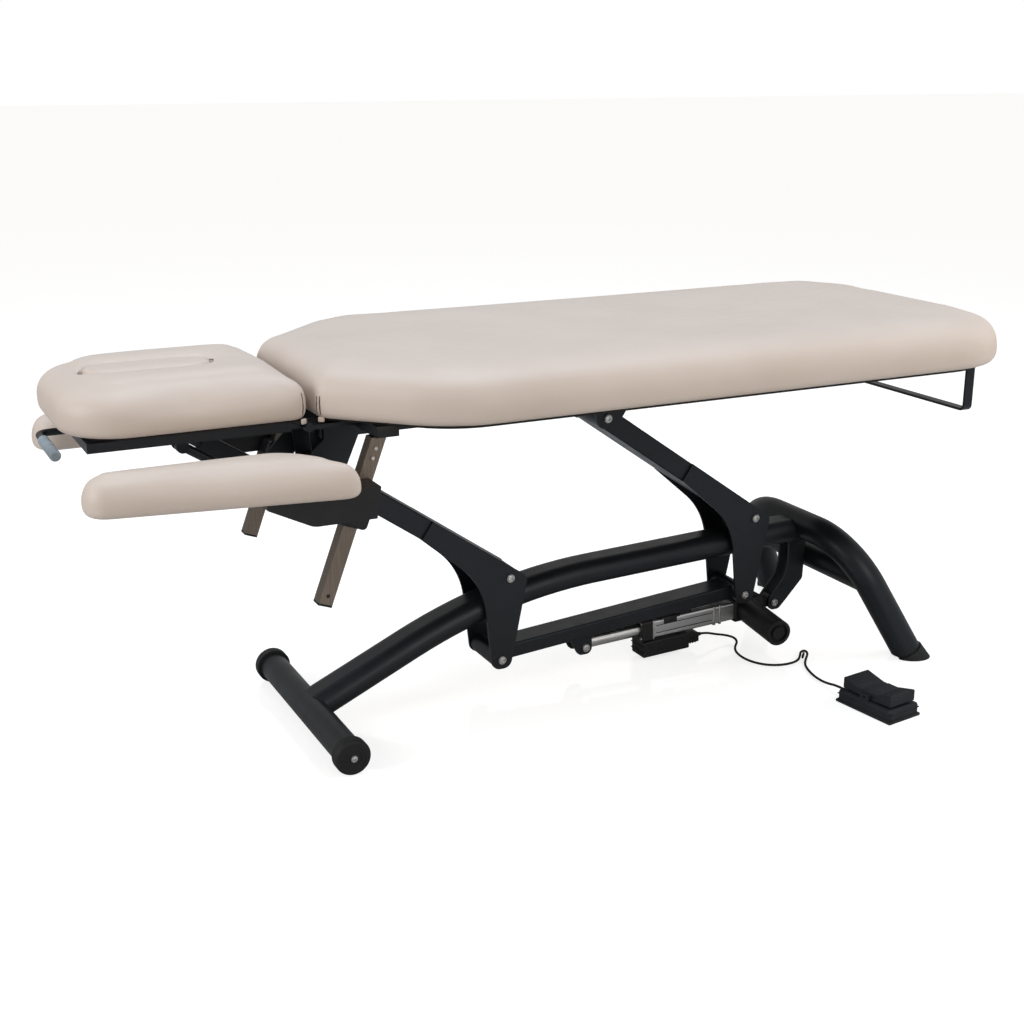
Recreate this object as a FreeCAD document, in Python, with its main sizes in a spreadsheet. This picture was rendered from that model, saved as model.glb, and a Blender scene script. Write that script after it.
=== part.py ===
import FreeCAD, Part
import math
import os
import re
import Sketcher

# Electric massage table: curved steel base, parallel lifting arms, padded top,
# tilting head section, two hanging armrests and a foot switch on a cable.
# Millimetres, +X towards the foot end, +Z up. The pieces are drawn about the
# centre of the front foot bar and moved together to the middle of the floor box at the end.

os.makedirs("parts", exist_ok=True)

SIZES = {
    # Front foot bar and its rubber caps
    "foot_bar_radius": 27,
    "foot_bar_length": 430,
    "tube_wall": 3,
    "cap_radius": 33,
    "cap_thick": 22,
    "cap_plug_depth": 16,
    "cap_flat": 0.6,
    "cap_round": 6,
    "screw_head_radius": 6,
    "screw_head_thick": 3,
    "screw_radius": 3,
    "screw_length": 14,
    # Main beam
    "beam_width": 80,
    "beam_depth": 50,
    "beam_slope": 24.3,
    "beam_slope_length": 219,
    "beam_bend_radius": 1050,
    "beam_end_slope": 2.0,
    # Rear arch
    "arch_radius": 30,
    "arch_top_x": 1100,
    "arch_top_z": 242,
    "arch_foot_x": 1226,
    "arch_foot_y": 239,
    "arch_leg_splay": 13,
    "arch_bend_radius": 130,
    "foot_boot_height": 11,
    "foot_boot_wall": 3.5,
    "foot_boot_flare": 5,
    "tie_radius": 27,
    "tie_height": 163,
    # Pivots of the lifting arms
    "front_pivot_x": 391,
    "front_pivot_z": 243,
    "rear_pivot_x": 953,
    "rear_pivot_z": 285,
    "arm_length": 433,
    "arm_rise": 34.9,
    "crank_back": 18,
    "crank_drop": 165,
    "pin_radius": 6,
    "pin_clearance": 0.08,
    "side_clearance": 0.5,
    "bush_radius": 20,
    "bolt_head_radius": 8,
    "bolt_head_thick": 4,
    "lug_length": 40,
    "lug_width": 70,
    "lug_room": 2,
    "cut_margin": 2,
    # Lifting arms
    "arm_tube_width": 98,
    "arm_tube_depth": 40,
    "tube_round": 4,
    "arm_plate_thick": 5,
    "plate_reach": 205,
    "plate_shoulder": 38,
    "plate_foot_radius": 19,
    "plate_throat": 57,
    "plate_throat_radius": 150,
    "plate_corner_radius": 16,
    # Link bar between the cranks
    "link_width": 56,
    "link_depth": 30,
    "link_bush_radius": 19,
    "lug_plate_thick": 6,
    "lug_plate_gap": 30,
    "rod_pin_x": 576,
    "rod_pin_z": 55,
    "rod_lug_reach": 34,
    "stub_length": 5,
    # Linear actuator
    "rear_pin_x": 1038,
    "rear_pin_z": 75,
    "rod_radius": 14,
    "rod_eye_radius": 15,
    "rod_eye_width": 24,
    "rod_offset": 3,
    "rod_clearance": 0.4,
    "rod_tail": 66,
    "nose_x": 710,
    "nose_length": 24,
    "nose_size": 46,
    "case_length": 200,
    "case_size": 40,
    "case_wall": 6,
    "gear_length": 72,
    "gear_size": 50,
    "tail_thick": 22,
    "motor_radius": 27,
    "motor_length": 144,
    "motor_cap_length": 10,
    "motor_sweep": 6,
    "motor_rise": -2.5,
    "motor_rim": 7,
    "motor_boss_radius": 13,
    "box_length": 112,
    "box_width": 48,
    "box_height": 34,
    "plug_length": 30,
    "plug_drop": 2,
    "clip_back": 84,
    "clip_thick": 4,
    "bracket_gap": 28,
    "bracket_thick": 5,
    "bracket_front": 33,
    "bracket_back": 76,
    "bracket_knee": 44,
    "bracket_eye_radius": 17,
    "bracket_weld": 4,
    # Top frame
    "board_bottom": 614,
    "board_thick": 12,
    "board_inset": 36,
    "cover_lift": 8,
    "rail_width": 25,
    "rail_height": 30,
    "rail_start": 20,
    "rail_end": 1330,
    "cross_width": 40,
    "cross_height": 20,
    "cross_reach": 230,
    "cross_first": 80,
    "cross_last": 1270,
    "frame_plate_thick": 5,
    "frame_plate_half": 34,
    "frame_plate_back": 40,
    # Main cushion
    "pad_width": 700,
    "pad_thick": 85,
    "pad_head_x": -25,
    "pad_foot_x": 1396,
    "pad_head_width": 354,
    "pad_taper_length": 174,
    "pad_foot_corner": 185,
    "pad_corner_radius": 24,
    "pad_roll": 38,
    "pad_corner_least": 6,
    "joint_roll_share": 0.8,
    "pad_crown": 5,
    # Head cushion
    "head_width": 358,
    "head_length": 392,
    "head_thick": 79,
    "head_gap": 8,
    "head_corner_radius": 104,
    "slot_length": 214,
    "slot_width": 80,
    "slot_centre": 221,
    "plug_clearance": 0.6,
    "head_rail_width": 18,
    "head_rail_height": 16,
    "head_rail_inset": 38,
    "head_rail_gap": 14,
    "hinge_drop": 8,
    "hinge_radius": 5,
    "knuckle_radius": 8,
    # Strut under the head section
    "strut_base_x": -45,
    "strut_base_z": 466,
    "strut_top_x": -228,
    "strut_top_z": 586,
    "strut_offset": 3,
    "sleeve_width": 22,
    "sleeve_depth": 44,
    "sleeve_length": 126,
    "strut_floor": 30,
    "strut_stroke": 72,
    "strut_rod_radius": 8,
    "strut_eye_radius": 11,
    "strut_ear_radius": 18,
    "strut_plate_width": 50,
    # Release lever at the head end
    "lever_radius": 6,
    "lever_out": 51,
    "lever_reach": 155,
    "lever_tail": 4,
    "grip_radius": 9,
    "grip_length": 114,
    # Armrests and their posts
    "post_size": 25,
    "post_wall": 2,
    "post_y": 212,
    "post_foot_x": -36,
    "post_foot_z": 318,
    "post_lean": 20.5,
    "post_bolt_drop": 34,
    "post_bolt_pitch": 16,
    "post_plug_thick": 4,
    "clamp_length": 52,
    "clamp_width": 52,
    "clamp_height": 48,
    "clamp_z": 470,
    "clamp_clearance": 0.4,
    "wing_width": 58,
    "wing_outside": 18,
    "wing_reach": 165,
    "wing_thick": 16,
    "wing_front": 26,
    "wing_root": 18,
    "wing_drop": -4,
    "wing_back": 90,
    "wing_round": 40,
    "armrest_bottom": 527,
    "armrest_thick": 61,
    "armrest_inside": 184,
    "armrest_outside": 340,
    "armrest_head_x": -420,
    "armrest_foot_x": 30,
    "armrest_tip_outside": 268,
    "armrest_tip_radius": 40,
    "armrest_foot_radius": 26,
    "armrest_swell_foot": 110,
    "armrest_swell_radius": 110,
    "wing_y": 264,
    "armrest_roll": 22,
    "knob_radius": 14,
    "knob_length": 20,
    # Paper bar under the foot end
    "strip_x": 1315,
    "strip_width": 20,
    "strip_thick": 5,
    "strip_y": 250,
    "strip_drop": 100,
    "strip_flange": 45,
    "strip_corner": 10,
    # Foot switch and its cable
    "switch_x": 995,
    "switch_y": -418,
    "switch_length": 132,
    "switch_width": 80,
    "switch_height": 27,
    "switch_turn": 8,
    "rocker_height": 25,
    "rocker_margin": 7,
    "rocker_clearance": 1,
    "rocker_axle": 5,
    "trunnion_radius": 2.5,
    "trunnion_length": 3,
    "rocker_dip": 11,
    "rocker_lift": 2.6,
    "cable_radius": 2.5,
    "cable_lead": 22,
    "gland_radius": 5,
    "gland_length": 16,
    "gland_side": 6,
    "gland_height": 11,
}

V = FreeCAD.Vector
X_AXIS, Y_AXIS, Z_AXIS = V(1, 0, 0), V(0, 1, 0), V(0, 0, 1)
NO_TURN = FreeCAD.Rotation()
NEAR = 0.01

doc = FreeCAD.newDocument("massage_table")
sheet = doc.addObject("Spreadsheet::Sheet", "Sizes")
for row, (alias, number) in enumerate(SIZES.items(), start=1):
    sheet.set(f"A{row}", alias)
    sheet.set(f"B{row}", str(number))
    sheet.setAlias(f"B{row}", alias)
doc.recompute()


class Named:
    """The sheet's values as attributes, so that d.pad_width reads the cell pad_width."""

    def __getattr__(self, alias):
        return float(sheet.get(alias))


d = Named()
nodes = {}
radian = math.pi / 180


# Helpers for document objects bound to the sheet

def bound(text):
    """A formula in sheet words as an expression that names the sheet."""
    return re.sub(r"[a-z_]+[a-z0-9_]*", lambda w: "Sizes." + w[0] if w[0] in SIZES else w[0], text)


def value(text):
    return float(sheet.evalExpression(bound(text)))


def box(name, length, width, height, centre, turn=NO_TURN):
    """A box whose three sizes are formulas, centred on a point."""
    made = doc.addObject("Part::Box", name)
    for side, text in (("Length", length), ("Width", width), ("Height", height)):
        made.setExpression(side, bound(text))
    half = V(value(length), value(width), value(height)) * -0.5
    made.Placement = FreeCAD.Placement(centre, turn) * FreeCAD.Placement(half, NO_TURN)
    return made


def rod(name, radius, height, start, along):
    """A cylinder from a start point along a direction."""
    made = doc.addObject("Part::Cylinder", name)
    made.setExpression("Radius", bound(radius))
    made.setExpression("Height", bound(height))
    made.Placement = FreeCAD.Placement(start, FreeCAD.Rotation(Z_AXIS, along))
    return made


def cross_rod(name, radius, length, x, z, y=0):
    """A cylinder across the table, centred at y."""
    return rod(name, radius, length, V(x, y - value(length) / 2, z), Y_AXIS)


def cut(name, base, *tools):
    for count, tool in enumerate(tools):
        made = doc.addObject("Part::Cut", f"{name}_{count}" if count + 1 < len(tools) else name)
        made.Base, made.Tool = base, tool
        base = made
    return base


def fuse(name, *pieces):
    made = doc.addObject("Part::MultiFuse", name)
    made.Shapes = list(pieces)
    made.Refine = True
    return made


def group(name, *pieces):
    made = doc.addObject("Part::Compound", name)
    made.Links = list(pieces)
    return made


def shaped(name, shape):
    made = doc.addObject("Part::Feature", name)
    made.Shape = shape
    return made


def rounded(name, base, radius, wanted):
    """Fillets of one radius on the edges that a test picks."""
    doc.recompute()
    made = doc.addObject("Part::Fillet", name)
    made.Base = base
    size = value(radius)
    edges = enumerate(base.Shape.Edges, start=1)
    made.Edges = [(number, size, size) for number, edge in edges if wanted(edge)]
    return made


def is_circle(edge):
    return edge.Curve.TypeId == "Part::GeomCircle"


def lies_along(way):
    """A test for the edges that run along a direction."""
    return lambda edge: abs(edge.tangentAt(edge.FirstParameter).dot(way)) > 0.99


def every(edge):
    return True


def node(label, made):
    """Names a finished piece: its label is the name of its file."""
    made.Label = label
    nodes[label] = made
    return made


def plate(name, corners, thick, place, rounds=None):
    """A plate body: corners as pairs of formulas in X and Z, padded along -Y, then placed.

    rounds maps a corner's number to the formula of its radius."""
    body = doc.addObject("PartDesign::Body", name)
    sketch = body.newObject("Sketcher::SketchObject", name + "_outline")
    plane = next(f for f in body.Origin.OriginFeatures if f.Role == "XZ_Plane")
    sketch.AttachmentSupport = [(plane, "")]
    sketch.MapMode = "FlatFace"
    points = [V(value(x), value(z), 0) for x, z in corners]
    for start, end in zip(points, points[1:] + points[:1]):
        sketch.addGeometry(Part.LineSegment(start, end))
    for number in range(len(corners)):
        sketch.addConstraint(Sketcher.Constraint("Coincident", (number - 1) % len(corners), 2, number, 1))
    for number, (x, z) in enumerate(corners):
        for kind, text, size in (("DistanceX", x, points[number].x), ("DistanceY", z, points[number].y)):
            index = sketch.addConstraint(Sketcher.Constraint(kind, -1, 1, number, 1, size))
            sketch.setExpression(f"Constraints[{index}]", bound(text))
    pad = body.newObject("PartDesign::Pad", name + "_pad")
    pad.Profile = sketch
    pad.setExpression("Length", bound(thick))
    for text in sorted(set((rounds or {}).values())):
        doc.recompute()
        picked = [points[number] for number in rounds if rounds[number] == text]
        feature = body.Tip
        names = []
        for number, edge in enumerate(feature.Shape.Edges, start=1):
            middle = edge.CenterOfMass
            at_corner = any(math.hypot(middle.x - p.x, middle.z - p.y) < NEAR for p in picked)
            if at_corner and lies_along(Y_AXIS)(edge):
                names.append(f"Edge{number}")
        fillet = body.newObject("PartDesign::Fillet", f"{name}_round_{len(body.Group)}")
        fillet.Base = (feature, names)
        fillet.setExpression("Radius", bound(text))
    body.Placement = FreeCAD.Placement(place, NO_TURN)
    return body


def plate_pair(label, corners, thick, x, z, inner, rounds=None):
    """Two equal plates across the centre line, with their inner faces at +inner and -inner."""
    outer = inner + value(thick)
    left = plate(label + "_left", corners, thick, V(x, outer, z), rounds)
    right = plate(label + "_right", corners, thick, V(x, -inner, z), rounds)
    return group(label + "_pair", left, right)


def arc_corner(before, corner, after, radius):
    """The two tangent points and the middle of a rounded corner."""
    back, on = (before - corner).normalize(), (after - corner).normalize()
    half = back.getAngle(on) / 2
    reach = radius / math.tan(half)
    inward = (back + on).normalize()
    middle = corner + inward * (radius / math.sin(half) - radius)
    return corner + back * reach, middle, corner + on * reach


def path_wire(points, radii, closed=False):
    """Straight runs joined by tangent arcs; radii has one entry for each turned point."""
    edges = []
    count = len(points)
    turned = range(count) if closed else range(1, count - 1)
    corners = {i: arc_corner(points[i - 1], points[i], points[(i + 1) % count], radii[i]) for i in turned}
    last = count if closed else count - 1
    for i in range(last):
        start = corners[i][2] if i in corners else points[i]
        following = (i + 1) % count
        end = corners[following][0] if following in corners else points[following]
        if (end - start).Length > 1e-6:
            edges.append(Part.LineSegment(start, end).toShape())
        if following in corners:
            edges.append(Part.Arc(*corners[following]).toShape())
    return Part.Wire(edges)


def pipe(path, section):
    return path.makePipeShell([section], True, True)


def ring_section(centre, along, radius):
    return Part.Wire([Part.Circle(centre, along, radius).toShape()])


# Points that the linkage shares

arm_direction = V(-math.cos(d.arm_rise * radian), 0, math.sin(d.arm_rise * radian))
front_pivot = V(d.front_pivot_x, 0, d.front_pivot_z)
rear_pivot = V(d.rear_pivot_x, 0, d.rear_pivot_z)
crank = V(-d.crank_back, 0, -d.crank_drop)
front_top_pivot = front_pivot + arm_direction * d.arm_length
rear_top_pivot = rear_pivot + arm_direction * d.arm_length
front_low_pivot = front_pivot + crank
rear_low_pivot = rear_pivot + crank
pad_bottom = d.board_bottom + d.board_thick
bar_height = d.cap_radius - d.cap_flat


# Front foot bar with rubber caps

def foot_bar():
    outside = cross_rod("foot_bar_outside", "foot_bar_radius", "foot_bar_length", 0, bar_height)
    inside = cross_rod("foot_bar_inside", "foot_bar_radius - tube_wall", "foot_bar_length + cut_margin", 0,
                       bar_height)
    node("front_foot_bar", cut("foot_bar_tube", outside, inside))
    caps, screws = [], []
    for side, sign in (("left", 1), ("right", -1)):
        seat = sign * d.foot_bar_length / 2
        out = V(0, sign, 0)
        disc = rod("cap_disc_" + side, "cap_radius", "cap_thick", V(0, seat, bar_height), out)
        far = seat + sign * d.cap_thick
        rim = rounded("cap_rim_" + side, disc, "cap_round",
                      lambda edge: is_circle(edge) and abs(edge.CenterOfMass.y - far) < NEAR)
        plug = rod("cap_plug_" + side, "foot_bar_radius - tube_wall", "cap_plug_depth",
                   V(0, seat, bar_height), out * -1)
        hole = rod("cap_hole_" + side, "screw_radius", "screw_length",
                   V(0, far - sign * d.screw_length, bar_height), out)
        floor = box("cap_floor_" + side, "3 * cap_radius", "3 * cap_radius", "2 * cap_radius",
                    V(0, far, -d.cap_radius))
        caps.append(cut("cap_" + side, fuse("cap_body_" + side, rim, plug), hole, floor))
        shank = rod("screw_shank_" + side, "screw_radius", "screw_length",
                    V(0, far - sign * d.screw_length, bar_height), out)
        head = rod("screw_head_" + side, "screw_head_radius", "screw_head_thick", V(0, far, bar_height), out)
        screws.append(fuse("screw_" + side, shank, head))
    node("foot_bar_caps", group("caps", *caps))
    return screws


# Beam: a straight rise, a long bend and a nearly level run to the arch

def beam_points():
    slope, end = d.beam_slope * radian, d.beam_end_slope * radian
    start = V(0, 0, bar_height)
    tangent = d.beam_bend_radius * math.tan((slope - end) / 2)
    corner = start + V(math.cos(slope), 0, math.sin(slope)) * (d.beam_slope_length + tangent)
    reach = (d.arch_top_x - corner.x) / math.cos(end)
    finish = corner + V(math.cos(end), 0, math.sin(end)) * reach
    return [start, corner, finish]


def beam_section(points, inset):
    """A flat oval square to the start of the beam."""
    along = (points[1] - points[0]).normalize()
    up = along.cross(Y_AXIS).normalize() * -1
    half = d.beam_depth / 2 - inset
    flat = (d.beam_width - d.beam_depth) / 2
    around = ((-flat, half), (flat, half), (flat + half, 0), (flat, -half), (-flat, -half), (-flat - half, 0))
    spots = [points[0] + Y_AXIS * y + up * z for y, z in around]
    return Part.Wire([
        Part.LineSegment(spots[0], spots[1]).toShape(),
        Part.Arc(spots[1], spots[2], spots[3]).toShape(),
        Part.LineSegment(spots[3], spots[4]).toShape(),
        Part.Arc(spots[4], spots[5], spots[0]).toShape(),
    ])


def beam_solid(inset):
    points = beam_points()
    return pipe(path_wire(points, {1: d.beam_bend_radius}), beam_section(points, inset))


def arch_wire():
    lean = V(d.arch_foot_x - d.arch_top_x, 0, -d.arch_top_z)
    splay = math.tan(d.arch_leg_splay * radian)
    corner_y = d.arch_foot_y - lean.Length * splay
    top = V(d.arch_top_x, 0, d.arch_top_z)
    foot = top + lean
    points = [foot - Y_AXIS * d.arch_foot_y, top - Y_AXIS * corner_y,
              top + Y_AXIS * corner_y, foot + Y_AXIS * d.arch_foot_y]
    return points, path_wire(points, {1: d.arch_bend_radius, 2: d.arch_bend_radius})


def arch_solid(inset):
    points, wire = arch_wire()
    along = (points[1] - points[0]).normalize()
    return pipe(wire, ring_section(points[0], along, d.arch_radius - inset))


def below(height):
    """All the space under a level, for cutting feet flat."""
    reach = 2 * d.rail_end
    return Part.makeBox(2 * reach, 2 * reach, reach, V(-reach, -reach, height - reach))


def base_tubes():
    bar_start = V(0, -d.foot_bar_length / 2, bar_height)
    bar = Part.makeCylinder(d.foot_bar_radius, d.foot_bar_length, bar_start, Y_AXIS)
    arch = arch_solid(0)
    beam = beam_solid(0).cut(beam_solid(d.tube_wall)).cut(bar).cut(arch)
    node("main_beam", shaped("beam", max(beam.Solids, key=lambda s: s.Volume)))
    points, wire = arch_wire()
    sole = d.foot_boot_wall
    tube = arch.cut(arch_solid(d.tube_wall)).cut(below(sole))
    node("rear_arch", shaped("arch", max(tube.Solids, key=lambda s: s.Volume)))
    feet = []
    for foot, knee in ((points[0], points[1]), (points[3], points[2])):
        up = (knee - foot).normalize()
        length = d.foot_boot_height / up.z
        under = foot - up * d.arch_radius
        wide = d.arch_radius + d.foot_boot_wall + d.foot_boot_flare
        narrow = d.arch_radius + d.foot_boot_wall
        boot = Part.makeCone(wide, narrow, length + d.arch_radius, under, up)
        boot = boot.cut(below(0))
        socket = Part.makeCylinder(d.arch_radius, d.arch_radius + 3 * length, under, up).cut(below(sole))
        feet.append(boot.cut(socket))
    node("arch_feet", shaped("feet", Part.makeCompound(feet)))
    drop = (d.arch_top_z - d.tie_height) / d.arch_top_z
    tie_x = d.arch_top_x + (d.arch_foot_x - d.arch_top_x) * drop
    tie = Part.makeCylinder(d.tie_radius, 2 * d.arch_foot_y, V(tie_x, -d.arch_foot_y, d.tie_height), Y_AXIS)
    node("tie_bar", shaped("tie", min(tie.cut(arch).Solids, key=lambda s: abs(s.CenterOfMass.y))))


def pivot_lugs():
    """A cross bush on a saddle, welded to the top of the beam, for each arm."""
    beam = beam_solid(0)
    length = d.arm_tube_width - 2 * d.side_clearance
    lugs = []
    for pivot in (front_pivot, rear_pivot):
        bush = Part.makeCylinder(d.bush_radius, length, pivot - Y_AXIS * (length / 2), Y_AXIS)
        low = pivot.z - d.crank_drop / 2
        saddle = Part.makeBox(d.lug_length, d.lug_width, pivot.z - low,
                              V(pivot.x - d.lug_length / 2, -d.lug_width / 2, low))
        saddle = max(saddle.cut(beam).Solids, key=lambda s: s.CenterOfMass.z)
        bore = Part.makeCylinder(d.pin_radius + d.pin_clearance, 2 * length, pivot - Y_AXIS * length, Y_AXIS)
        lugs.append(saddle.fuse(bush).cut(bore).removeSplitter())
    node("beam_pivot_lugs", shaped("pivot_lug_pair", Part.makeCompound(lugs)))


# Lifting arms: rectangular tube, two crank plates, top bush and pivot bolts

def arm(side, pivot, low_pivot, top_pivot):
    turn = FreeCAD.Rotation(Y_AXIS, 180 + d.arm_rise)
    start = d.bush_radius + d.lug_room
    centre = pivot + arm_direction * ((start + d.arm_length) / 2)
    outside = box(side + "_arm_outside", "arm_length - bush_radius - lug_room", "arm_tube_width",
                  "arm_tube_depth", centre, turn)
    soft = rounded(side + "_arm_soft", outside, "tube_round", lies_along(arm_direction))
    inside = box(side + "_arm_inside", "arm_length", "arm_tube_width - 2 * tube_wall",
                 "arm_tube_depth - 2 * tube_wall", centre, turn)
    seat = cross_rod(side + "_arm_seat", "bush_radius", "2 * arm_tube_width", top_pivot.x, top_pivot.z)
    lug_room = cross_rod(side + "_arm_lug_room", "bush_radius + lug_room", "2 * arm_tube_width",
                         pivot.x, pivot.z)
    hollow = cut(side + "_arm_hollow", soft, inside, seat, lug_room)
    bush = cross_rod(side + "_bush", "bush_radius", "arm_tube_width", top_pivot.x, top_pivot.z)
    bore = cross_rod(side + "_bush_bore", "pin_radius + pin_clearance", "2 * arm_tube_width",
                     top_pivot.x, top_pivot.z)
    node(side + "_arm_tube", cut(side + "_arm_bored", fuse(side + "_arm_welded", hollow, bush), bore))
    rise = "(arm_rise * 1 deg)"
    edge = "arm_tube_depth / 2"
    corners = [
        (f"-plate_reach * cos{rise} + {edge} * sin{rise}", f"plate_reach * sin{rise} + {edge} * cos{rise}"),
        ("plate_shoulder", f"{edge} / cos{rise} - plate_shoulder * tan{rise}"),
        ("plate_foot_radius - crank_back", "-crank_drop - plate_foot_radius"),
        ("-plate_foot_radius - crank_back", "-crank_drop - plate_foot_radius"),
        ("-plate_throat", "-plate_throat / 12"),
        (f"-plate_reach * cos{rise} - {edge} * sin{rise}", f"plate_reach * sin{rise} - {edge} * cos{rise}"),
    ]
    foot_round = "plate_foot_radius * 0.95"
    rounds = {1: "plate_corner_radius", 2: foot_round, 3: foot_round, 4: "plate_throat_radius"}
    half = d.arm_tube_width / 2
    plates = plate_pair(side + "_crank", corners, "arm_plate_thick", pivot.x, pivot.z, half, rounds)
    holes = [cross_rod(f"{side}_plate_hole_{spot}", "pin_radius", "2 * arm_tube_width", at.x, at.z)
             for spot, at in (("pivot", pivot), ("low", low_pivot))]
    node(side + "_arm_plates", cut(side + "_plates_drilled", plates, *holes))
    bolts = [bolt(f"{side}_{spot}_bolt", at, "arm_tube_width + 2 * arm_plate_thick")
             for spot, at in (("pivot", pivot), ("low", low_pivot))]
    node(side + "_arm_bolts", group(side + "_bolts", *bolts))


def bolt(name, at, grip):
    """A pivot bolt across the table with a round head on each side."""
    shank = cross_rod(name + "_shank", "pin_radius", grip, at.x, at.z)
    reach = value(grip) / 2
    heads = [rod(f"{name}_head_{sign}", "bolt_head_radius", "bolt_head_thick",
                 V(at.x, sign * reach, at.z), Y_AXIS * sign) for sign in (1, -1)]
    return fuse(name, shank, *heads)


# Link bar between the lower ends of the cranks, with the lugs that the actuator pushes

def link():
    run = rear_low_pivot - front_low_pivot
    pitch = math.atan2(run.z, run.x)
    turn = FreeCAD.Rotation(Y_AXIS, -pitch / radian)
    middle = (front_low_pivot + rear_low_pivot) * 0.5
    length = f"{run.Length}"
    outside = box("link_outside", length, "link_width", "link_depth", middle, turn)
    soft = rounded("link_soft", outside, "tube_round", lies_along(V(run).normalize()))
    inside = box("link_inside", f"{run.Length} * 2", "link_width - 2 * tube_wall",
                 "link_depth - 2 * tube_wall", middle, turn)
    seats = [cross_rod("link_seat_" + end, "link_bush_radius", "2 * link_width", at.x, at.z)
             for end, at in (("front", front_low_pivot), ("rear", rear_low_pivot))]
    node("link_bar", cut("link_tube", soft, inside, *seats))
    bushes = []
    for end, at in (("front", front_low_pivot), ("rear", rear_low_pivot)):
        sleeve = cross_rod(end + "_link_sleeve", "link_bush_radius", "arm_tube_width - 2 * side_clearance",
                           at.x, at.z)
        bore = cross_rod(end + "_link_bore", "pin_radius + pin_clearance", "2 * arm_tube_width", at.x, at.z)
        bushes.append(cut(end + "_link_bush", sleeve, bore))
    node("link_bushes", group("bushes", *bushes))
    under = front_low_pivot + run * ((d.rod_pin_x - front_low_pivot.x) / run.x)
    top = under.z - d.link_depth / 2 / math.cos(pitch) - d.rod_pin_z
    lean = math.tan(pitch)
    corners = [("-rod_lug_reach", f"{top} - rod_lug_reach * {lean}"),
               ("rod_eye_radius", f"{top} + rod_eye_radius * {lean}"),
               ("rod_eye_radius", "-rod_eye_radius"), ("-rod_eye_radius", "-rod_eye_radius")]
    eye_round = "rod_eye_radius * 0.85"
    inner = d.lug_plate_gap / 2
    lugs = plate_pair("rod_lug", corners, "lug_plate_thick", d.rod_pin_x, d.rod_pin_z, inner,
                      {2: eye_round, 3: eye_round})
    hole = cross_rod("lug_hole", "pin_radius", "2 * link_width", d.rod_pin_x, d.rod_pin_z)
    node("link_lugs", cut("lugs_drilled", lugs, hole))
    stubs = []
    for sign in (1, -1):
        face = sign * (inner + d.lug_plate_thick)
        shank = rod(f"stub_shank_{sign}", "pin_radius", "lug_plate_thick",
                    V(d.rod_pin_x, face, d.rod_pin_z), Y_AXIS * -sign)
        head = rod(f"stub_head_{sign}", "bolt_head_radius", "stub_length",
                   V(d.rod_pin_x, face, d.rod_pin_z), Y_AXIS * sign)
        stubs.append(fuse(f"stub_{sign}", shank, head))
    node("link_lug_bolts", group("lug_bolts", *stubs))


# Actuator: rod, nose, aluminium case, gearbox with the motor across, control box below

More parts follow.
